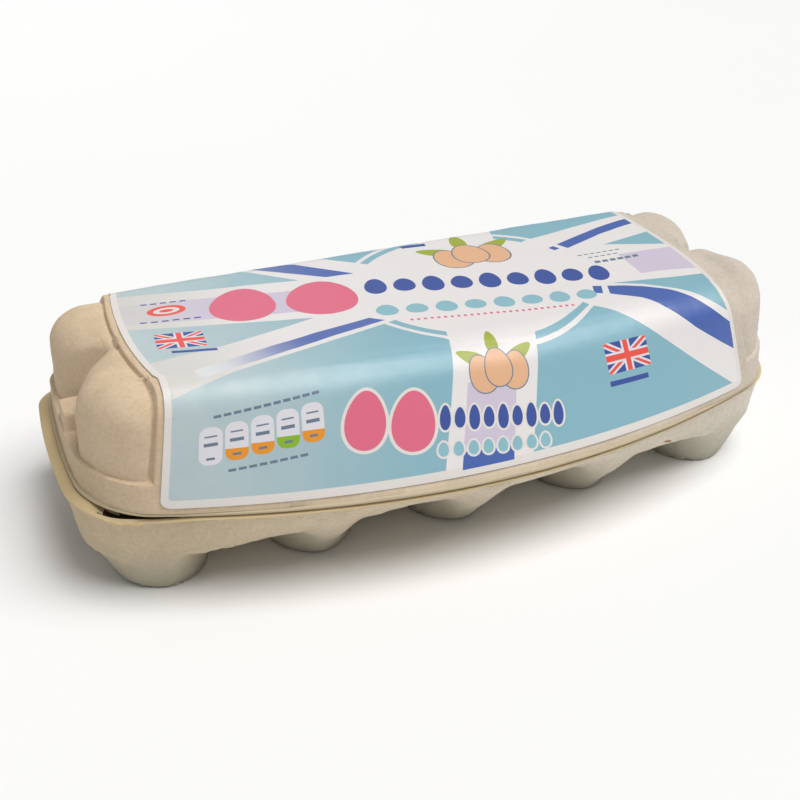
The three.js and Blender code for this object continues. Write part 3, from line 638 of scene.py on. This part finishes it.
def print_shapes(length):
    s = []

    def put(ink, pts):
        s.append((ink, np.asarray(pts, float) + [0.0, 1.27]))

    top = length - 1.27
    # ring, then the arms and bands over it
    c = (17.5, 79.0)
    put("white", disc(*c, 44.4))
    put("teal", disc(*c, 42.6))
    put("white", disc(*c, 39.8))
    # lengthwise band with its lilac middle
    put("white", [(-99, 114.4), (-65.8, 108), (-45.6, 105.2), (0, 97), (40, 94), (74.5, 90.2), (99, 78.5), (99, 49.5), (62, 58.6), (0, 64),
                  (-43.2, 72.4), (-72.1, 78), (-99, 83.4)])
    put("lilac", [(-99, 105.2), (-76.5, 101.9), (-67.3, 100.3), (-40, 95.5), (-40, 77.5), (-69.2, 82.4), (-78.4, 83.9), (-99, 87.6)])
    put("lilac", [(74, 79.75), (77.9, 79.3), (99, 76.7), (99, 54.6), (81.8, 60.2), (74, 61.5)])
    # diagonal arms
    put("white", [(-99, 52.8), (-91.9, 55.1), (-72.6, 60.3), (-40, 72.2), (-10, 82), (0, 68), (-22.9, 59.3), (-41.2, 53.6), (-84.2, 38.2), (-99, 33.2)])
    put("white", [(-36.4, 103.8), (-56, 122), (-86, top + 3), (-58, top + 3), (-26, 121), (-10.8, 108.2), (2, 98), (-14, 92)])
    put("white", [(24, 92), (40, 101), (50.4, 105.6), (70, 110), (99, 115.2), (99, 95.2), (75, 90.6), (50, 86)])
    put("white", [(58, 60.5), (70.5, 53), (81.3, 43.6), (99, 27), (99, -2), (95.2, -2), (79.5, 14), (67.3, 26.5), (53.3, 40), (46.6, 46.4), (40, 60)])
    put("fade", [(-25.0, 65.6), (-44, 60.6), (-60.1, 55.4), (-81.3, 47), (-87, 44.7), (-87, 38.9), (-83.7, 40.2), (-56.7, 50.4), (-40, 56.6), (-21.0, 62.2)])
    put("blue", [(-17.1, 101.9), (-26.8, 102.6), (-49, 118.8), (-60, 128.5), (-83, top + 3), (-69, top + 3), (-46, 127), (-34, 117.6)])
    put("blue", [(58.6, 97.6), (70, 102.2), (80.3, 106.2), (99, 111.0), (99, 105.6), (90, 103.6), (77.4, 99.8), (60.6, 92.8)])
    put("blue", [(54.2, 95.8), (56.6, 96.7), (57.8, 93.8), (55.4, 92.9)])
    put("blue", [(58.1, 57.6), (64, 55), (70.7, 50.6), (76.6, 45.8), (82.2, 39.9), (89, 32.8), (99, 22.2), (99, 11.6), (90, 19.4), (80, 28.4), (71.6, 37.1),
                 (65.4, 44.2), (60, 48.6), (56.4, 51.6)])
    put("blue", [(53.2, 59.6), (56.2, 58.4), (54.2, 52.8), (51.4, 54.2)])
    # band down the front and over the back
    put("white", [(-3, 60), (-7, 46.2), (-12.4, 24), (-18.8, -2), (9.6, -2), (14.7, 16.2), (19.6, 34.6), (23, 46), (26, 60)])
    put("lilac", [(-6.6, 27), (-9.2, 16), (-11.6, 6.0), (4.9, 5.2), (7.4, 15), (9.8, 26)])
    put("blue", [(-11.6, 6.0), (4.9, 5.2), (3.4, -2), (-13.4, -2)])
    put("white", [(12, 112), (14, 120), (20, top + 3), (50, top + 3), (43, 120), (40, 110)])
    put("blue", [(21, 120.5), (27, top + 3), (43, top + 3), (36, 120)])
    put("white", disc(*c, 39.4))
    # two big pink eggs on the top, two on the front
    for cx, cy, w, h, r in ((-58.6, 90.6, 21, 27, -12), (-33.4, 86.6, 23, 27.5, -12)):
        put("pink", egg(cx, cy, w, h, r, 48))
    for cx, cy, w, h, r in ((-40.2, 20.6, 12.6, 18.4, -9), (-25.6, 18.2, 13.6, 18.8, -9)):
        put("border", egg(cx, cy, w + 2.0, h + 2.0, r, 40))
        put("pink", egg(cx, cy, w, h, r, 40))
    # rows of small eggs
    for k in range(9):
        t = k / 8
        cx, cy = lerp(-14.2, 60.2, t), lerp(88.6, 68.6, t)
        put("navy", egg(cx, cy, 7.4, (12.6, 10.6)[k % 2], -14, 28))
    for k in range(8):
        t = k / 7
        cx, cy = lerp(-17.5, 48.5, t), lerp(69.2, 54.8, t)
        put("aqua", egg(cx, cy, 7.2, (8.4, 7.2)[k % 2], -12, 26))
    for k in range(26):
        t = k / 25
        put("pink", egg(lerp(-13.0, 40.5, t), lerp(59.6, 49.2, t), 1.15, 1.5, 0, 10))
    for k in range(9):
        t = k / 8
        put("border", egg(lerp(-15.6, 21.6, t), lerp(17.6, 11.8, t), 4.9, (9.2, 7.8)[k % 2], -9, 22))
    for k in range(9):
        t = k / 8
        put("navy", egg(lerp(-15.6, 21.6, t), lerp(17.6, 11.8, t), 3.5, (7.8, 6.4)[k % 2], -9, 22))
    for k in range(8):
        t = k / 7
        put("border", egg(lerp(-17.6, 15.4, t), lerp(8.0, 4.4, t), 4.6, 5.8, -8, 20))
    for k in range(8):
        t = k / 7
        put("aqua", egg(lerp(-17.6, 15.4, t), lerp(8.0, 4.4, t), 3.3, 4.5, -8, 20))
    # a clutch of three plain eggs with a sprig, on the top and on the front
    def clutch(cx, cy, q):
        put("leaf", egg(cx - 9.5 * q, cy + 5.6 * q, 5.5 * q, 13 * q, 58, 22, 0.3))
        put("leaf", egg(cx + 10.2 * q, cy + 4.6 * q, 5.5 * q, 13 * q, -62, 22, 0.3))
        put("leaf", egg(cx + 0.5 * q, cy + 11.2 * q, 5.0 * q, 11 * q, -8, 22, 0.3))
        for dx, dy, r in ((-6.6, -1.0, 12), (6.8, -1.6, -14), (0.0, 0.6, 0)):
            put("slate", egg(cx + dx * q, cy + dy * q, 11.6 * q, 15.6 * q, r, 34))
            put("tan", egg(cx + dx * q, cy + dy * q, 10.7 * q, 14.7 * q, r, 34))

    put("navy", [(6.0, 118.4), (15.6, 117.6), (15.2, 115.2), (6.4, 116.2)])
    clutch(26.4, 101.6, 1.12)
    clutch(4.4, 29.6, 0.82)
    # small flags, the traditional cross and saltire
    def flag(cx, cy, w, h, r):
        a = math.radians(r)

        def tr(pts):
            q = np.asarray(pts, float)
            x, y = q[:, 0] * w / 2, q[:, 1] * h / 2
            return np.stack([cx + x * math.cos(a) - y * math.sin(a), cy + x * math.sin(a) + y * math.cos(a)], -1)

        put("navy", tr([(-1, -1), (1, -1), (1, 1), (-1, 1)]))
        for sgn in (1, -1):
            put("panel", tr([(-1, -sgn), (-0.74, -sgn), (1, 0.72 * sgn), (1, sgn), (0.74, sgn), (-1, -0.72 * sgn)]))
        for sgn in (1, -1):
            put("red", tr([(-1, -0.96 * sgn), (-0.9, -sgn), (0.98, 0.86 * sgn), (1, 0.96 * sgn), (0.9, sgn), (-1, -0.86 * sgn)]))
        put("panel", tr([(-0.2, -1), (0.2, -1), (0.2, 1), (-0.2, 1)]))
        put("panel", tr([(-1, -0.34), (1, -0.34), (1, 0.34), (-1, 0.34)]))
        put("red", tr([(-0.11, -1), (0.11, -1), (0.11, 1), (-0.11, 1)]))
        put("red", tr([(-1, -0.2), (1, -0.2), (1, 0.2), (-1, 0.2)]))

    flag(-83.2, 69.2, 14.4, 12.2, -7)
    put("navy", bar(-81.6, 59.4, 13.0, 1.9, -8))
    flag(50.8, 25.0, 16.6, 10.6, 0)
    put("navy", bar(49.6, 16.4, 15.0, 1.8, -1))
    # an oval mark with short strokes above and below it
    put("red", egg(-82.2, 95.2, 12.4, 9.0, 0, 30, 0.0))
    put("border", egg(-82.2, 95.2, 8.4, 5.4, 0, 26, 0.0))
    put("red", egg(-82.2, 95.2, 4.6, 2.6, 0, 20, 0.0))
    for k in range(5):
        put("navy", bar(-88.4 + 3.1 * k, 103.0 - 0.35 * k, 2.0, 1.0, -7))
    for k in range(6):
        put("navy", bar(-90.6 + 3.3 * k, 87.2 - 0.35 * k, 2.1, 1.0, -7))
    # a row of small panels with coloured feet on the front
    for k in range(5):
        cx, cy = -85.2 + 7.35 * k, 18.4 + 0.95 * k
        ft = ("panel", "orange", "orange", "lime", "orange")[k]
        body = rounded(cx - 3.3, cy - 5.8, cx + 3.3, cy + 6.4, (2.6, 2.6, 2.6, 2.6))
        put(ft, body)
        if k:
            put("panel", rounded(cx - 3.3, cy - 2.0, cx + 3.3, cy + 6.4, (0.2, 0.2, 2.6, 2.6)))
        put("slate", bar(cx, cy + 3.4, 3.6, 0.5, 4))
        put("slate", bar(cx, cy + 0.8, 4.0, 1.1, 4))
        put("slate", bar(cx, cy - 3.8, 2.4, 0.8, 4))
    for k in range(11):
        put("slate", bar(-83.4 + 2.9 * k, 28.0 + 0.33 * k, 2.2, 0.9, 6))
    for k in range(8):
        put("slate", bar(-79.2 + 2.9 * k, 10.4 + 0.33 * k, 2.2, 0.9, 6))
    # three rows of grey strokes at the right of the top
    for k in range(7):
        put("slate", bar(61.0 + 2.5 * k, 84.6 - 0.1 * k, 1.7, 0.7, -4))
    for k in range(5):
        put("slate", bar(63.6 + 2.5 * k, 81.4 - 0.1 * k, 1.7, 0.7, -4))
    for k in range(6):
        put("slate", bar(64.2 + 3.0 * k, 77.0 - 0.2 * k, 2.2, 1.9, -4))
    return s


def inside(pts, poly):
    x, y = pts[:, 0], pts[:, 1]
    out = np.zeros(len(pts), bool)
    lo, hi = poly.min(0), poly.max(0)
    near = np.nonzero((x >= lo[0]) & (x <= hi[0]) & (y >= lo[1]) & (y <= hi[1]))[0]
    if not len(near):
        return out
    x, y = x[near], y[near]
    hit = np.zeros(len(near), bool)
    for a, b in zip(poly, np.roll(poly, -1, 0)):
        if a[1] == b[1]:
            continue
        c = ((a[1] > y) != (b[1] > y)) & (x < (b[0] - a[0]) * (y - a[1]) / (b[1] - a[1]) + a[0])
        hit ^= c
    out[near] = hit
    return out


def clip_box(poly, u0, v0, u1, v1):
    for axis, lim, sgn in ((0, u0, 1), (0, u1, -1), (1, v0, 1), (1, v1, -1)):
        out = []
        n = len(poly)
        for k in range(n):
            a, b = poly[k], poly[(k + 1) % n]
            da, db = (a[axis] - lim) * sgn, (b[axis] - lim) * sgn
            if da >= 0:
                out.append(a)
            if da * db < 0:
                out.append(a + (b - a) * (da / (da - db)))
        poly = np.array(out)
        if len(poly) < 3:
            return None
    return poly


def make_label(mats):
    sheet_map = LabelSheet()
    length = sheet_map.length
    half = LABEL_HALF
    left = LABEL_MARGIN_LEFT - PANEL_REF
    outline = rounded(left, 0.0, half, length, (3.2, 3.2, 2.0, 2.0))
    field = rounded(left + 2.1, 2.8, half - 1.6, length - 1.6, (1.2, 1.2, 0.6, 0.6))
    shapes = [("teal", field)]
    for ink, p in print_shapes(length):
        low = 1.9 if (ink == "blue" and p[:, 1].min() < 0) else 2.8
        q = clip_box(p, left + 2.1, low, half - 1.6, length - 1.6)
        if q is not None:
            shapes.append((ink, q))
    pts, edges = [], []

    def loop(poly, step):
        ids = []
        for a, b in zip(poly, np.roll(poly, -1, 0)):
            n = max(1, int(np.linalg.norm(b - a) / step))
            for k in range(n):
                ids.append(len(pts))
                pts.append(a + (b - a) * (k / n))
        for k, i in enumerate(ids):
            edges.append((i, ids[(k + 1) % len(ids)]))

    loop(outline, 1.2)
    n_out = len(pts)
    for _, p in shapes:
        loop(p, 1.6)
    vs = list(np.arange(1.0, 29, 1.3)) + list(np.arange(29, 44, 0.55)) + list(np.arange(44.4, 114, 1.6)) + list(np.arange(114, 131, 0.7)) + list(np.arange(131.3, length - 0.6, 1.5))
    us = np.linspace(left + 0.9, half - 0.9, 120)
    for j, v in enumerate(vs):
        for i, u in enumerate(us):
            pts.append(np.array([u + (0.4 if j % 2 else -0.4), v]))
    res = delaunay_2d_cdt([Vector((float(a[0]), float(a[1]))) for a in pts], edges, [], 0, 1e-4, False)
    uv = np.array([(a.x, a.y) for a in res[0]])
    tri = np.array(res[2])
    cen = uv[tri].mean(1)
    tri = tri[inside(cen, outline)]
    a, b, c = uv[tri[:, 0]], uv[tri[:, 1]], uv[tri[:, 2]]
    area = (b[:, 0] - a[:, 0]) * (c[:, 1] - a[:, 1]) - (b[:, 1] - a[:, 1]) * (c[:, 0] - a[:, 0])
    tri = np.where((area < 0)[:, None], tri[:, ::-1], tri)
    tri = tri[np.abs(area) > 1e-7]
    cen = uv[tri].mean(1)
    ink = np.zeros(len(tri), int)
    for name, p in shapes:
        ink[inside(cen, p)] = INK.index(name)
    used = np.unique(tri)
    remap = np.full(len(uv), -1)
    remap[used] = np.arange(len(used))
    uv, tri = uv[used], remap[tri]
    e = 0.25
    u, v = uv[:, 0], uv[:, 1]
    vc = np.clip(v, 0.3, length - 0.3)
    p = sheet_map.at(u, v)
    n = np.cross(sheet_map.at(u + e, vc) - sheet_map.at(u - e, vc), sheet_map.at(u, vc + e) - sheet_map.at(u, vc - e))
    n /= np.linalg.norm(n, axis=1)[:, None]
    q3 = np.stack([u, v, 0 * u], -1)
    relief = 0.05 * waves(q3, 17, 31) + 0.018 * waves(q3, 5, 33)
    # fine creases along the front shoulder, and a few across it
    rng = random.Random(8)
    for _ in range(12):
        v0, u0, ln, tilt = rng.uniform(35, 47), rng.uniform(-80, 80), rng.uniform(18, 46), rng.uniform(-0.09, 0.02)
        dv = v - v0 - tilt * (u - u0) - 0.5 * np.sin(u / 11 + v0)
        relief += 0.085 * rng.choice((1, -1)) * np.exp(-(dv / 0.55) ** 2) * ease(ln, ln * 0.5, np.abs(u - u0))
    for _ in range(5):
        v0, u0, ln = rng.uniform(33, 42), rng.uniform(-75, 80), rng.uniform(5, 9)
        du = u - u0 - 0.4 * (v - v0)
        relief += 0.06 * np.exp(-(du / 1.1) ** 2) * ease(ln, ln * 0.3, np.abs(v - v0))
    rim_d = np.minimum.reduce([half - u, u - left, v, length - v])
    lift = 0.12 * ease(0, 1.5, v) + 0.10
    outer = warp(p + n * (0.30 + lift + np.clip(relief, -0.2, 0.2) * ease(0.0, 2.0, rim_d))[:, None])
    inner = warp(p + n * 0.04)
    k = len(uv)
    # boundary of the sheet
    ed = {}
    for t in tri:
        for a0, b0 in ((t[0], t[1]), (t[1], t[2]), (t[2], t[0])):
            ed[(a0, b0)] = True
    rimq = [(a0, b0) for (a0, b0) in ed if (b0, a0) not in ed]
    faces = [tuple(t) for t in tri] + [(t[0] + k, t[2] + k, t[1] + k) for t in tri] + [(b0, a0, a0 + k, b0 + k) for a0, b0 in rimq]
    fm = list(ink) + [0] * len(tri) + [0] * len(rimq)
    verts = np.concatenate([outer, inner])
    uvs = np.concatenate([uv, uv]) / 200.0 + [0.5, 0.05]
    print("label", len(verts), len(faces))
    return to_object("label_print", verts, faces, mats, fm, uvs, sharp=40)


# ---- materials ----------------------------------------------------------
def nodes_of(name):
    m = bpy.data.materials.new(name)
    m.use_nodes = True
    nt = m.node_tree
    bsdf = next(q for q in nt.nodes if q.type == "BSDF_PRINCIPLED")
    return m, nt, bsdf


def add(nt, kind, **kw):
    q = nt.nodes.new(kind)
    for k, v in kw.items():
        if k.startswith("_"):
            q.inputs[k[1:].replace("_", " ")].default_value = v
        else:
            setattr(q, k, v)
    return q


def srgb(h):
    h = h.lstrip("#")
    c = [int(h[i:i + 2], 16) / 255 for i in (0, 2, 4)]
    return tuple((v / 12.92 if v <= 0.04045 else ((v + 0.055) / 1.055) ** 2.4) for v in c) + (1.0,)


def mix(nt, fac, a, b):
    q = nt.nodes.new("ShaderNodeMix")
    q.data_type = "RGBA"
    for sock, val in ((q.inputs[0], fac), (q.inputs[6], a), (q.inputs[7], b)):
        if hasattr(val, "is_output"):
            nt.links.new(val, sock)
        else:
            sock.default_value = val
    return q.outputs[2]


def ramp(nt, src, stops):
    q = nt.nodes.new("ShaderNodeValToRGB")
    el = q.color_ramp.elements
    while len(el) < len(stops):
        el.new(0.5)
    for e, (pos, val) in zip(el, stops):
        e.position = pos
        e.color = (val, val, val, 1) if not isinstance(val, tuple) else val
    nt.links.new(src, q.inputs[0])
    return q.outputs[0]


def pulp(name, light, mid, dark, light_r, mid_r, foot=None, lip=None):
    """Matt moulded paper pulp: cloudy tone, fine felted grain, fibres and flecks.
    The tone runs from warm at the left end to greyer at the right, partly the pulp's own tone and partly painted
    light: a cooler light on the right end, and on the tray a lighter right half for light on its shaded cups."""
    m, nt, bsdf = nodes_of(name)
    tc = add(nt, "ShaderNodeTexCoord")
    pos = tc.outputs["Object"]
    sep = add(nt, "ShaderNodeSeparateXYZ")
    nt.links.new(pos, sep.inputs[0])
    along = add(nt, "ShaderNodeMapRange")
    along.inputs["From Min"].default_value = -0.115
    along.inputs["From Max"].default_value = 0.115
    nt.links.new(sep.outputs[0], along.inputs[0])
    cloud = add(nt, "ShaderNodeTexNoise", _Scale=55.0, _Detail=5.0, _Roughness=0.6)
    grain = add(nt, "ShaderNodeTexNoise", _Scale=800.0, _Detail=4.0, _Roughness=0.6)
    fleck = add(nt, "ShaderNodeTexNoise", _Scale=1500.0, _Detail=2.0, _Roughness=0.5)
    for q in (cloud, grain, fleck):
        nt.links.new(pos, q.inputs["Vector"])
    fibres = []
    for rot, sc in (((0.3, 0.5, 0.4), (1.0, 0.14, 1.0)), ((0.9, 0.2, 2.1), (0.16, 1.0, 0.8))):
        mp = add(nt, "ShaderNodeMapping")
        mp.inputs["Rotation"].default_value = rot
        mp.inputs["Scale"].default_value = sc
        fb = add(nt, "ShaderNodeTexNoise", _Scale=1700.0, _Detail=2.0, _Distortion=0.8)
        nt.links.new(pos, mp.inputs["Vector"])
        nt.links.new(mp.outputs[0], fb.inputs["Vector"])
        fibres.append(fb.outputs[0])
    # the change of tone from the left end to the right is partly the pulp's own and partly painted light
    lo = mix(nt, along.outputs[0], srgb(mid), srgb(mid_r))
    hi = mix(nt, along.outputs[0], srgb(light), srgb(light_r))
    base = mix(nt, ramp(nt, cloud.outputs[0], [(0.35, 0.0), (0.65, 1.0)]), lo, hi)
    base = mix(nt, ramp(nt, grain.outputs[0], [(0.30, 0.30), (0.60, 0.0)]), base, srgb(dark))
    base = mix(nt, ramp(nt, fibres[0], [(0.60, 0.0), (0.72, 0.30)]), base, hi)
    base = mix(nt, ramp(nt, fibres[1], [(0.26, 0.22), (0.36, 0.0)]), base, srgb(dark))
    base = mix(nt, ramp(nt, fleck.outputs[0], [(0.21, 0.45), (0.25, 0.0)]), base, srgb("#6f5b40"))
    # the feet turn greyer and darker towards the bottom
    if foot is not None:
        low = add(nt, "ShaderNodeMapRange")
        low.inputs["From Min"].default_value = 0.002
        low.inputs["From Max"].default_value = 0.022
        low.inputs["To Min"].default_value = 0.85
        low.inputs["To Max"].default_value = 0.0
        nt.links.new(sep.outputs[2], low.inputs[0])
        base = mix(nt, low.outputs[0], base, srgb(foot))
        # a small rust-brown scuff beside the right-hand cup
        sub = add(nt, "ShaderNodeVectorMath", operation="SUBTRACT")
        sub.inputs[1].default_value = (0.0728, -0.0389, 0.0210)
        nt.links.new(pos, sub.inputs[0])
        dx = add(nt, "ShaderNodeVectorMath", operation="DOT_PRODUCT")
        dx.inputs[1].default_value = (0.861, 0.156, -0.484)
        dy = add(nt, "ShaderNodeVectorMath", operation="DOT_PRODUCT")
        dy.inputs[1].default_value = (0.47, 0.10, 0.87)
        sq = []
        for q, r in ((dx, 0.0030), (dy, 0.00075)):
            nt.links.new(sub.outputs[0], q.inputs[0])
            d = add(nt, "ShaderNodeMath", operation="DIVIDE")
            d.inputs[1].default_value = r
            nt.links.new(q.outputs["Value"], d.inputs[0])
            m2 = add(nt, "ShaderNodeMath", operation="MULTIPLY")
            nt.links.new(d.outputs[0], m2.inputs[0])
            nt.links.new(d.outputs[0], m2.inputs[1])
            sq.append(m2.outputs[0])
        both = add(nt, "ShaderNodeMath", operation="ADD")
        nt.links.new(sq[0], both.inputs[0])
        nt.links.new(sq[1], both.inputs[1])
        near = add(nt, "ShaderNodeVectorMath", operation="LENGTH")
        nt.links.new(sub.outputs[0], near.inputs[0])
        lim = add(nt, "ShaderNodeMath", operation="LESS_THAN")
        lim.inputs[1].default_value = 0.005
        nt.links.new(near.outputs["Value"], lim.inputs[0])
        fall = add(nt, "ShaderNodeMapRange")
        fall.inputs["From Min"].default_value = 0.4
        fall.inputs["From Max"].default_value = 1.5
        fall.inputs["To Min"].default_value = 0.9
        fall.inputs["To Max"].default_value = 0.0
        nt.links.new(both.outputs[0], fall.inputs[0])
        fac = add(nt, "ShaderNodeMath", operation="MULTIPLY")
        nt.links.new(fall.outputs[0], fac.inputs[0])
        nt.links.new(lim.outputs[0], fac.inputs[1])
        base = mix(nt, fac.outputs[0], base, srgb("#9a6a34"))
    # a tone laid on by height near the flange; on the lid it is painted shade, greying the lowest wall and lip
    if lip is not None:
        z0, z1, tone = lip
        rim_z = add(nt, "ShaderNodeMapRange")
        rim_z.inputs["From Min"].default_value = z0
        rim_z.inputs["From Max"].default_value = z1
        rim_z.inputs["To Min"].default_value = 0.0
        rim_z.inputs["To Max"].default_value = 0.85
        nt.links.new(sep.outputs[2], rim_z.inputs[0])
        base = mix(nt, rim_z.outputs[0], base, srgb(tone))
    nt.links.new(base, bsdf.inputs["Base Color"])
    bsdf.inputs["Roughness"].default_value = 0.93
    bsdf.inputs["Specular IOR Level"].default_value = 0.25
    h1 = add(nt, "ShaderNodeMath", operation="ADD")
    nt.links.new(grain.outputs[0], h1.inputs[0])
    nt.links.new(fibres[0], h1.inputs[1])
    h2 = add(nt, "ShaderNodeMath", operation="MULTIPLY_ADD")
    h2.inputs[1].default_value = 0.7
    nt.links.new(fibres[1], h2.inputs[0])
    nt.links.new(h1.outputs[0], h2.inputs[2])
    bump = add(nt, "ShaderNodeBump", _Strength=0.35, _Distance=0.0002)
    nt.links.new(h2.outputs[0], bump.inputs["Height"])
    nt.links.new(bump.outputs[0], bsdf.inputs["Normal"])
    return m


def ink(name, colour, pale=None, u_from=0.0, u_to=1.0, rough=0.36, second=None):
    """Printed coated paper. pale fades in along u from u_to to u_from (mm); on the fade ink that is the print's own
    gradient, on the other inks it is painted sheen paling the print towards the left end, partly the print's own
    tone.
    """
    m, nt, bsdf = nodes_of("label_" + name)
    uv = add(nt, "ShaderNodeUVMap", uv_map="flat")
    tc = add(nt, "ShaderNodeTexCoord")
    n1 = add(nt, "ShaderNodeTexNoise", _Scale=90.0, _Detail=3.0)
    n2 = add(nt, "ShaderNodeTexNoise", _Scale=1400.0, _Detail=2.0)
    for q in (n1, n2):
        nt.links.new(tc.outputs["Object"], q.inputs["Vector"])
    c = srgb(colour)
    if pale is not None:
        sep = add(nt, "ShaderNodeSeparateXYZ")
        nt.links.new(uv.outputs[0], sep.inputs[0])
        mr = add(nt, "ShaderNodeMapRange")
        mr.interpolation_type = "SMOOTHSTEP"
        mr.inputs["From Min"].default_value = u_from / 200.0 + 0.5
        mr.inputs["From Max"].default_value = u_to / 200.0 + 0.5
        nt.links.new(sep.outputs[0], mr.inputs[0])
        c = mix(nt, mr.outputs[0], srgb(pale), c)
    dark = tuple(0.93 * v for v in srgb(colour)[:3]) + (1.0,)
    c = mix(nt, ramp(nt, n1.outputs[0], [(0.45, 0.0), (0.75, 0.18)]), c, dark)
    nt.links.new(c, bsdf.inputs["Base Color"])
    rr = add(nt, "ShaderNodeMapRange")
    rr.inputs["To Min"].default_value = rough - 0.05
    rr.inputs["To Max"].default_value = rough + 0.09
    nt.links.new(n1.outputs[0], rr.inputs[0])
    nt.links.new(rr.outputs[0], bsdf.inputs["Roughness"])
    bsdf.inputs["Specular IOR Level"].default_value = 0.5
    bump = add(nt, "ShaderNodeBump", _Strength=0.12, _Distance=0.0002)
    nt.links.new(n2.outputs[0], bump.inputs["Height"])
    nt.links.new(bump.outputs[0], bsdf.inputs["Normal"])
    return m


# the lid's lip tone is painted shade on its lowest wall and lip; its greyer right-hand tones are partly painted
# cooler light
LID_PULP = pulp("pulp_lid", "#e0c9ac", "#d6bfa0", "#b59e7a", "#d5cbc0", "#cdc3b6", lip=(0.0352, 0.0336, "#c2b497"))
# the tray's much lighter right-hand tones are painted light, brightening its shaded cups towards the right end
TRAY_PULP = pulp("pulp_tray", "#d6c3a5", "#ccb99b", "#a79474", "#ebe3d6", "#e1d9cb", foot="#aba998", lip=(0.0306, 0.0316, "#d3bd90"))
# painted shade: dark brown standing in for the shade in the channel under the lid's front-left corner
PAINTED_SHADE_PULP = pulp("pulp_painted_shade", "#4a3a22", "#3f311c", "#2c2213", "#4a3a22", "#3f311c")
# painted highlight: light ochre for the lit sliver of the flange's outer edge at the front left
PAINTED_HIGHLIGHT_PULP = pulp("pulp_painted_highlight", "#e2ca98", "#d6bd8a", "#b39a68", "#e2ca98", "#d6bd8a")
# the pale tones of teal, white, lilac and blue are painted sheen towards the left end, partly the print's own tone;
# the fade ink's pale is its printed gradient
INKS = [
    ink("border", "#e6e1dc"),
    ink("teal", "#8ab8c6", pale="#bdcdd0", u_from=-96, u_to=-10),
    ink("white", "#ebe7e6", pale="#d8d6d0", u_from=-96, u_to=-50),
    ink("lilac", "#d2c8da", pale="#d5d1d0", u_from=-92, u_to=-66),
    ink("blue", "#4c68b0", pale="#8290bb", u_from=-70, u_to=-17),
    ink("fade", "#5a71b4", pale="#e2e3e4", u_from=-84, u_to=-46),
    ink("pink", "#e46f8a"),
    ink("navy", "#3f57a0"),
    ink("aqua", "#90bfcb"),
    ink("tan", "#e8b78f"),
    ink("leaf", "#a3b03c"),
    ink("red", "#f0594e"),
    ink("orange", "#ee9a2c"),
    ink("lime", "#8dbb2f"),
    ink("slate", "#6f7f92"),
    ink("panel", "#e4e2e8"),
]

# ---- the pieces ---------------------------------------------------------
lid_v, lid_f = make_lid()
lid_ob = to_object("lid_pulp_shell", lid_v, lid_f, [LID_PULP], sharp=60)
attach(lid_ob, "root")
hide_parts("lid")

tray_v, tray_f, tray_group = make_tray()
tray_ob = to_object("tray_pulp_shell", tray_v, tray_f, [TRAY_PULP, PAINTED_SHADE_PULP, PAINTED_HIGHLIGHT_PULP], tray_group, sharp=60)
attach(tray_ob, "root")
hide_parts("tray")

label_ob = make_label(INKS)
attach(label_ob, "root")
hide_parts("label")

# ---- stage, light and camera --------------------------------------------
me = bpy.data.meshes.new("floor")
me.from_pydata([(-6, -6, 0), (6, -6, 0), (6, 6, 0), (-6, 6, 0)], [], [(0, 1, 2, 3)])
floor = bpy.data.objects.new("floor", me)
bpy.context.scene.collection.objects.link(floor)
fm, fnt, fb = nodes_of("floor_paper")
fn = add(fnt, "ShaderNodeTexNoise", _Scale=3.0, _Detail=2.0)
ftc = add(fnt, "ShaderNodeTexCoord")
fnt.links.new(ftc.outputs["Object"], fn.inputs["Vector"])
fnt.links.new(mix(fnt, fn.outputs[0], (0.93, 0.93, 0.93, 1), (0.95, 0.95, 0.95, 1)), fb.inputs["Base Color"])
fb.inputs["Roughness"].default_value = 0.8
me.materials.append(fm)

scene = bpy.context.scene
scene.view_settings.view_transform = "Standard"
scene.view_settings.look = "None"
scene.view_settings.exposure = 0.0
scene.view_settings.gamma = 1.0

world = bpy.data.worlds.new("studio")
scene.world = world
world.use_nodes = True
bg = world.node_tree.nodes["Background"]
bg.inputs[0].default_value = (1.0, 1.0, 1.0, 1.0)
bg.inputs[1].default_value = 0.24


def area(name, loc, aim, size, power, colour=(1, 1, 1)):
    light = bpy.data.lights.new(name, "AREA")
    light.shape = "RECTANGLE"
    light.size, light.size_y = size
    light.energy = power
    light.color = colour
    ob = bpy.data.objects.new(name, light)
    ob.location = loc
    ob.rotation_euler = (Vector(aim) - Vector(loc)).to_track_quat("-Z", "Y").to_euler()
    scene.collection.objects.link(ob)
    return ob


sun = bpy.data.lights.new("sun", "SUN")
sun.energy = 2.6
sun.angle = 0.75
sun.color = (1.0, 0.995, 0.985)
sun_ob = bpy.data.objects.new("sun", sun)
sun_ob.rotation_euler = Vector((-0.30, 0.24, -0.92)).to_track_quat("-Z", "Y").to_euler()
scene.collection.objects.link(sun_ob)
area("sheen_back", (-0.15, 1.1, 0.75), (0.0, 0.0, 0.05), (1.2, 0.5), 1.1)

AZ, EL, ROLL = -0.389013, 0.513103, 0.00159
target = Vector((-7.999, -4.116 + Y_SHIFT, 30.0)) * 0.001
cam_data = bpy.data.cameras.new("camera")
cam_data.lens = 1215.4546 * 36.0 / 800.0
cam_data.sensor_width = 36.0
cam_data.clip_start = 0.01
cam_data.clip_end = 30
cam = bpy.data.objects.new("camera", cam_data)
direction = Vector((math.sin(AZ) * math.cos(EL), -math.cos(AZ) * math.cos(EL), math.sin(EL)))
cam.location = target + direction * 0.430315
rot = (-direction).to_track_quat("-Z", "Y").to_matrix() @ Matrix.Rotation(ROLL, 3, "Z")
cam.rotation_euler = rot.to_euler()
scene.collection.objects.link(cam)
scene.camera = cam
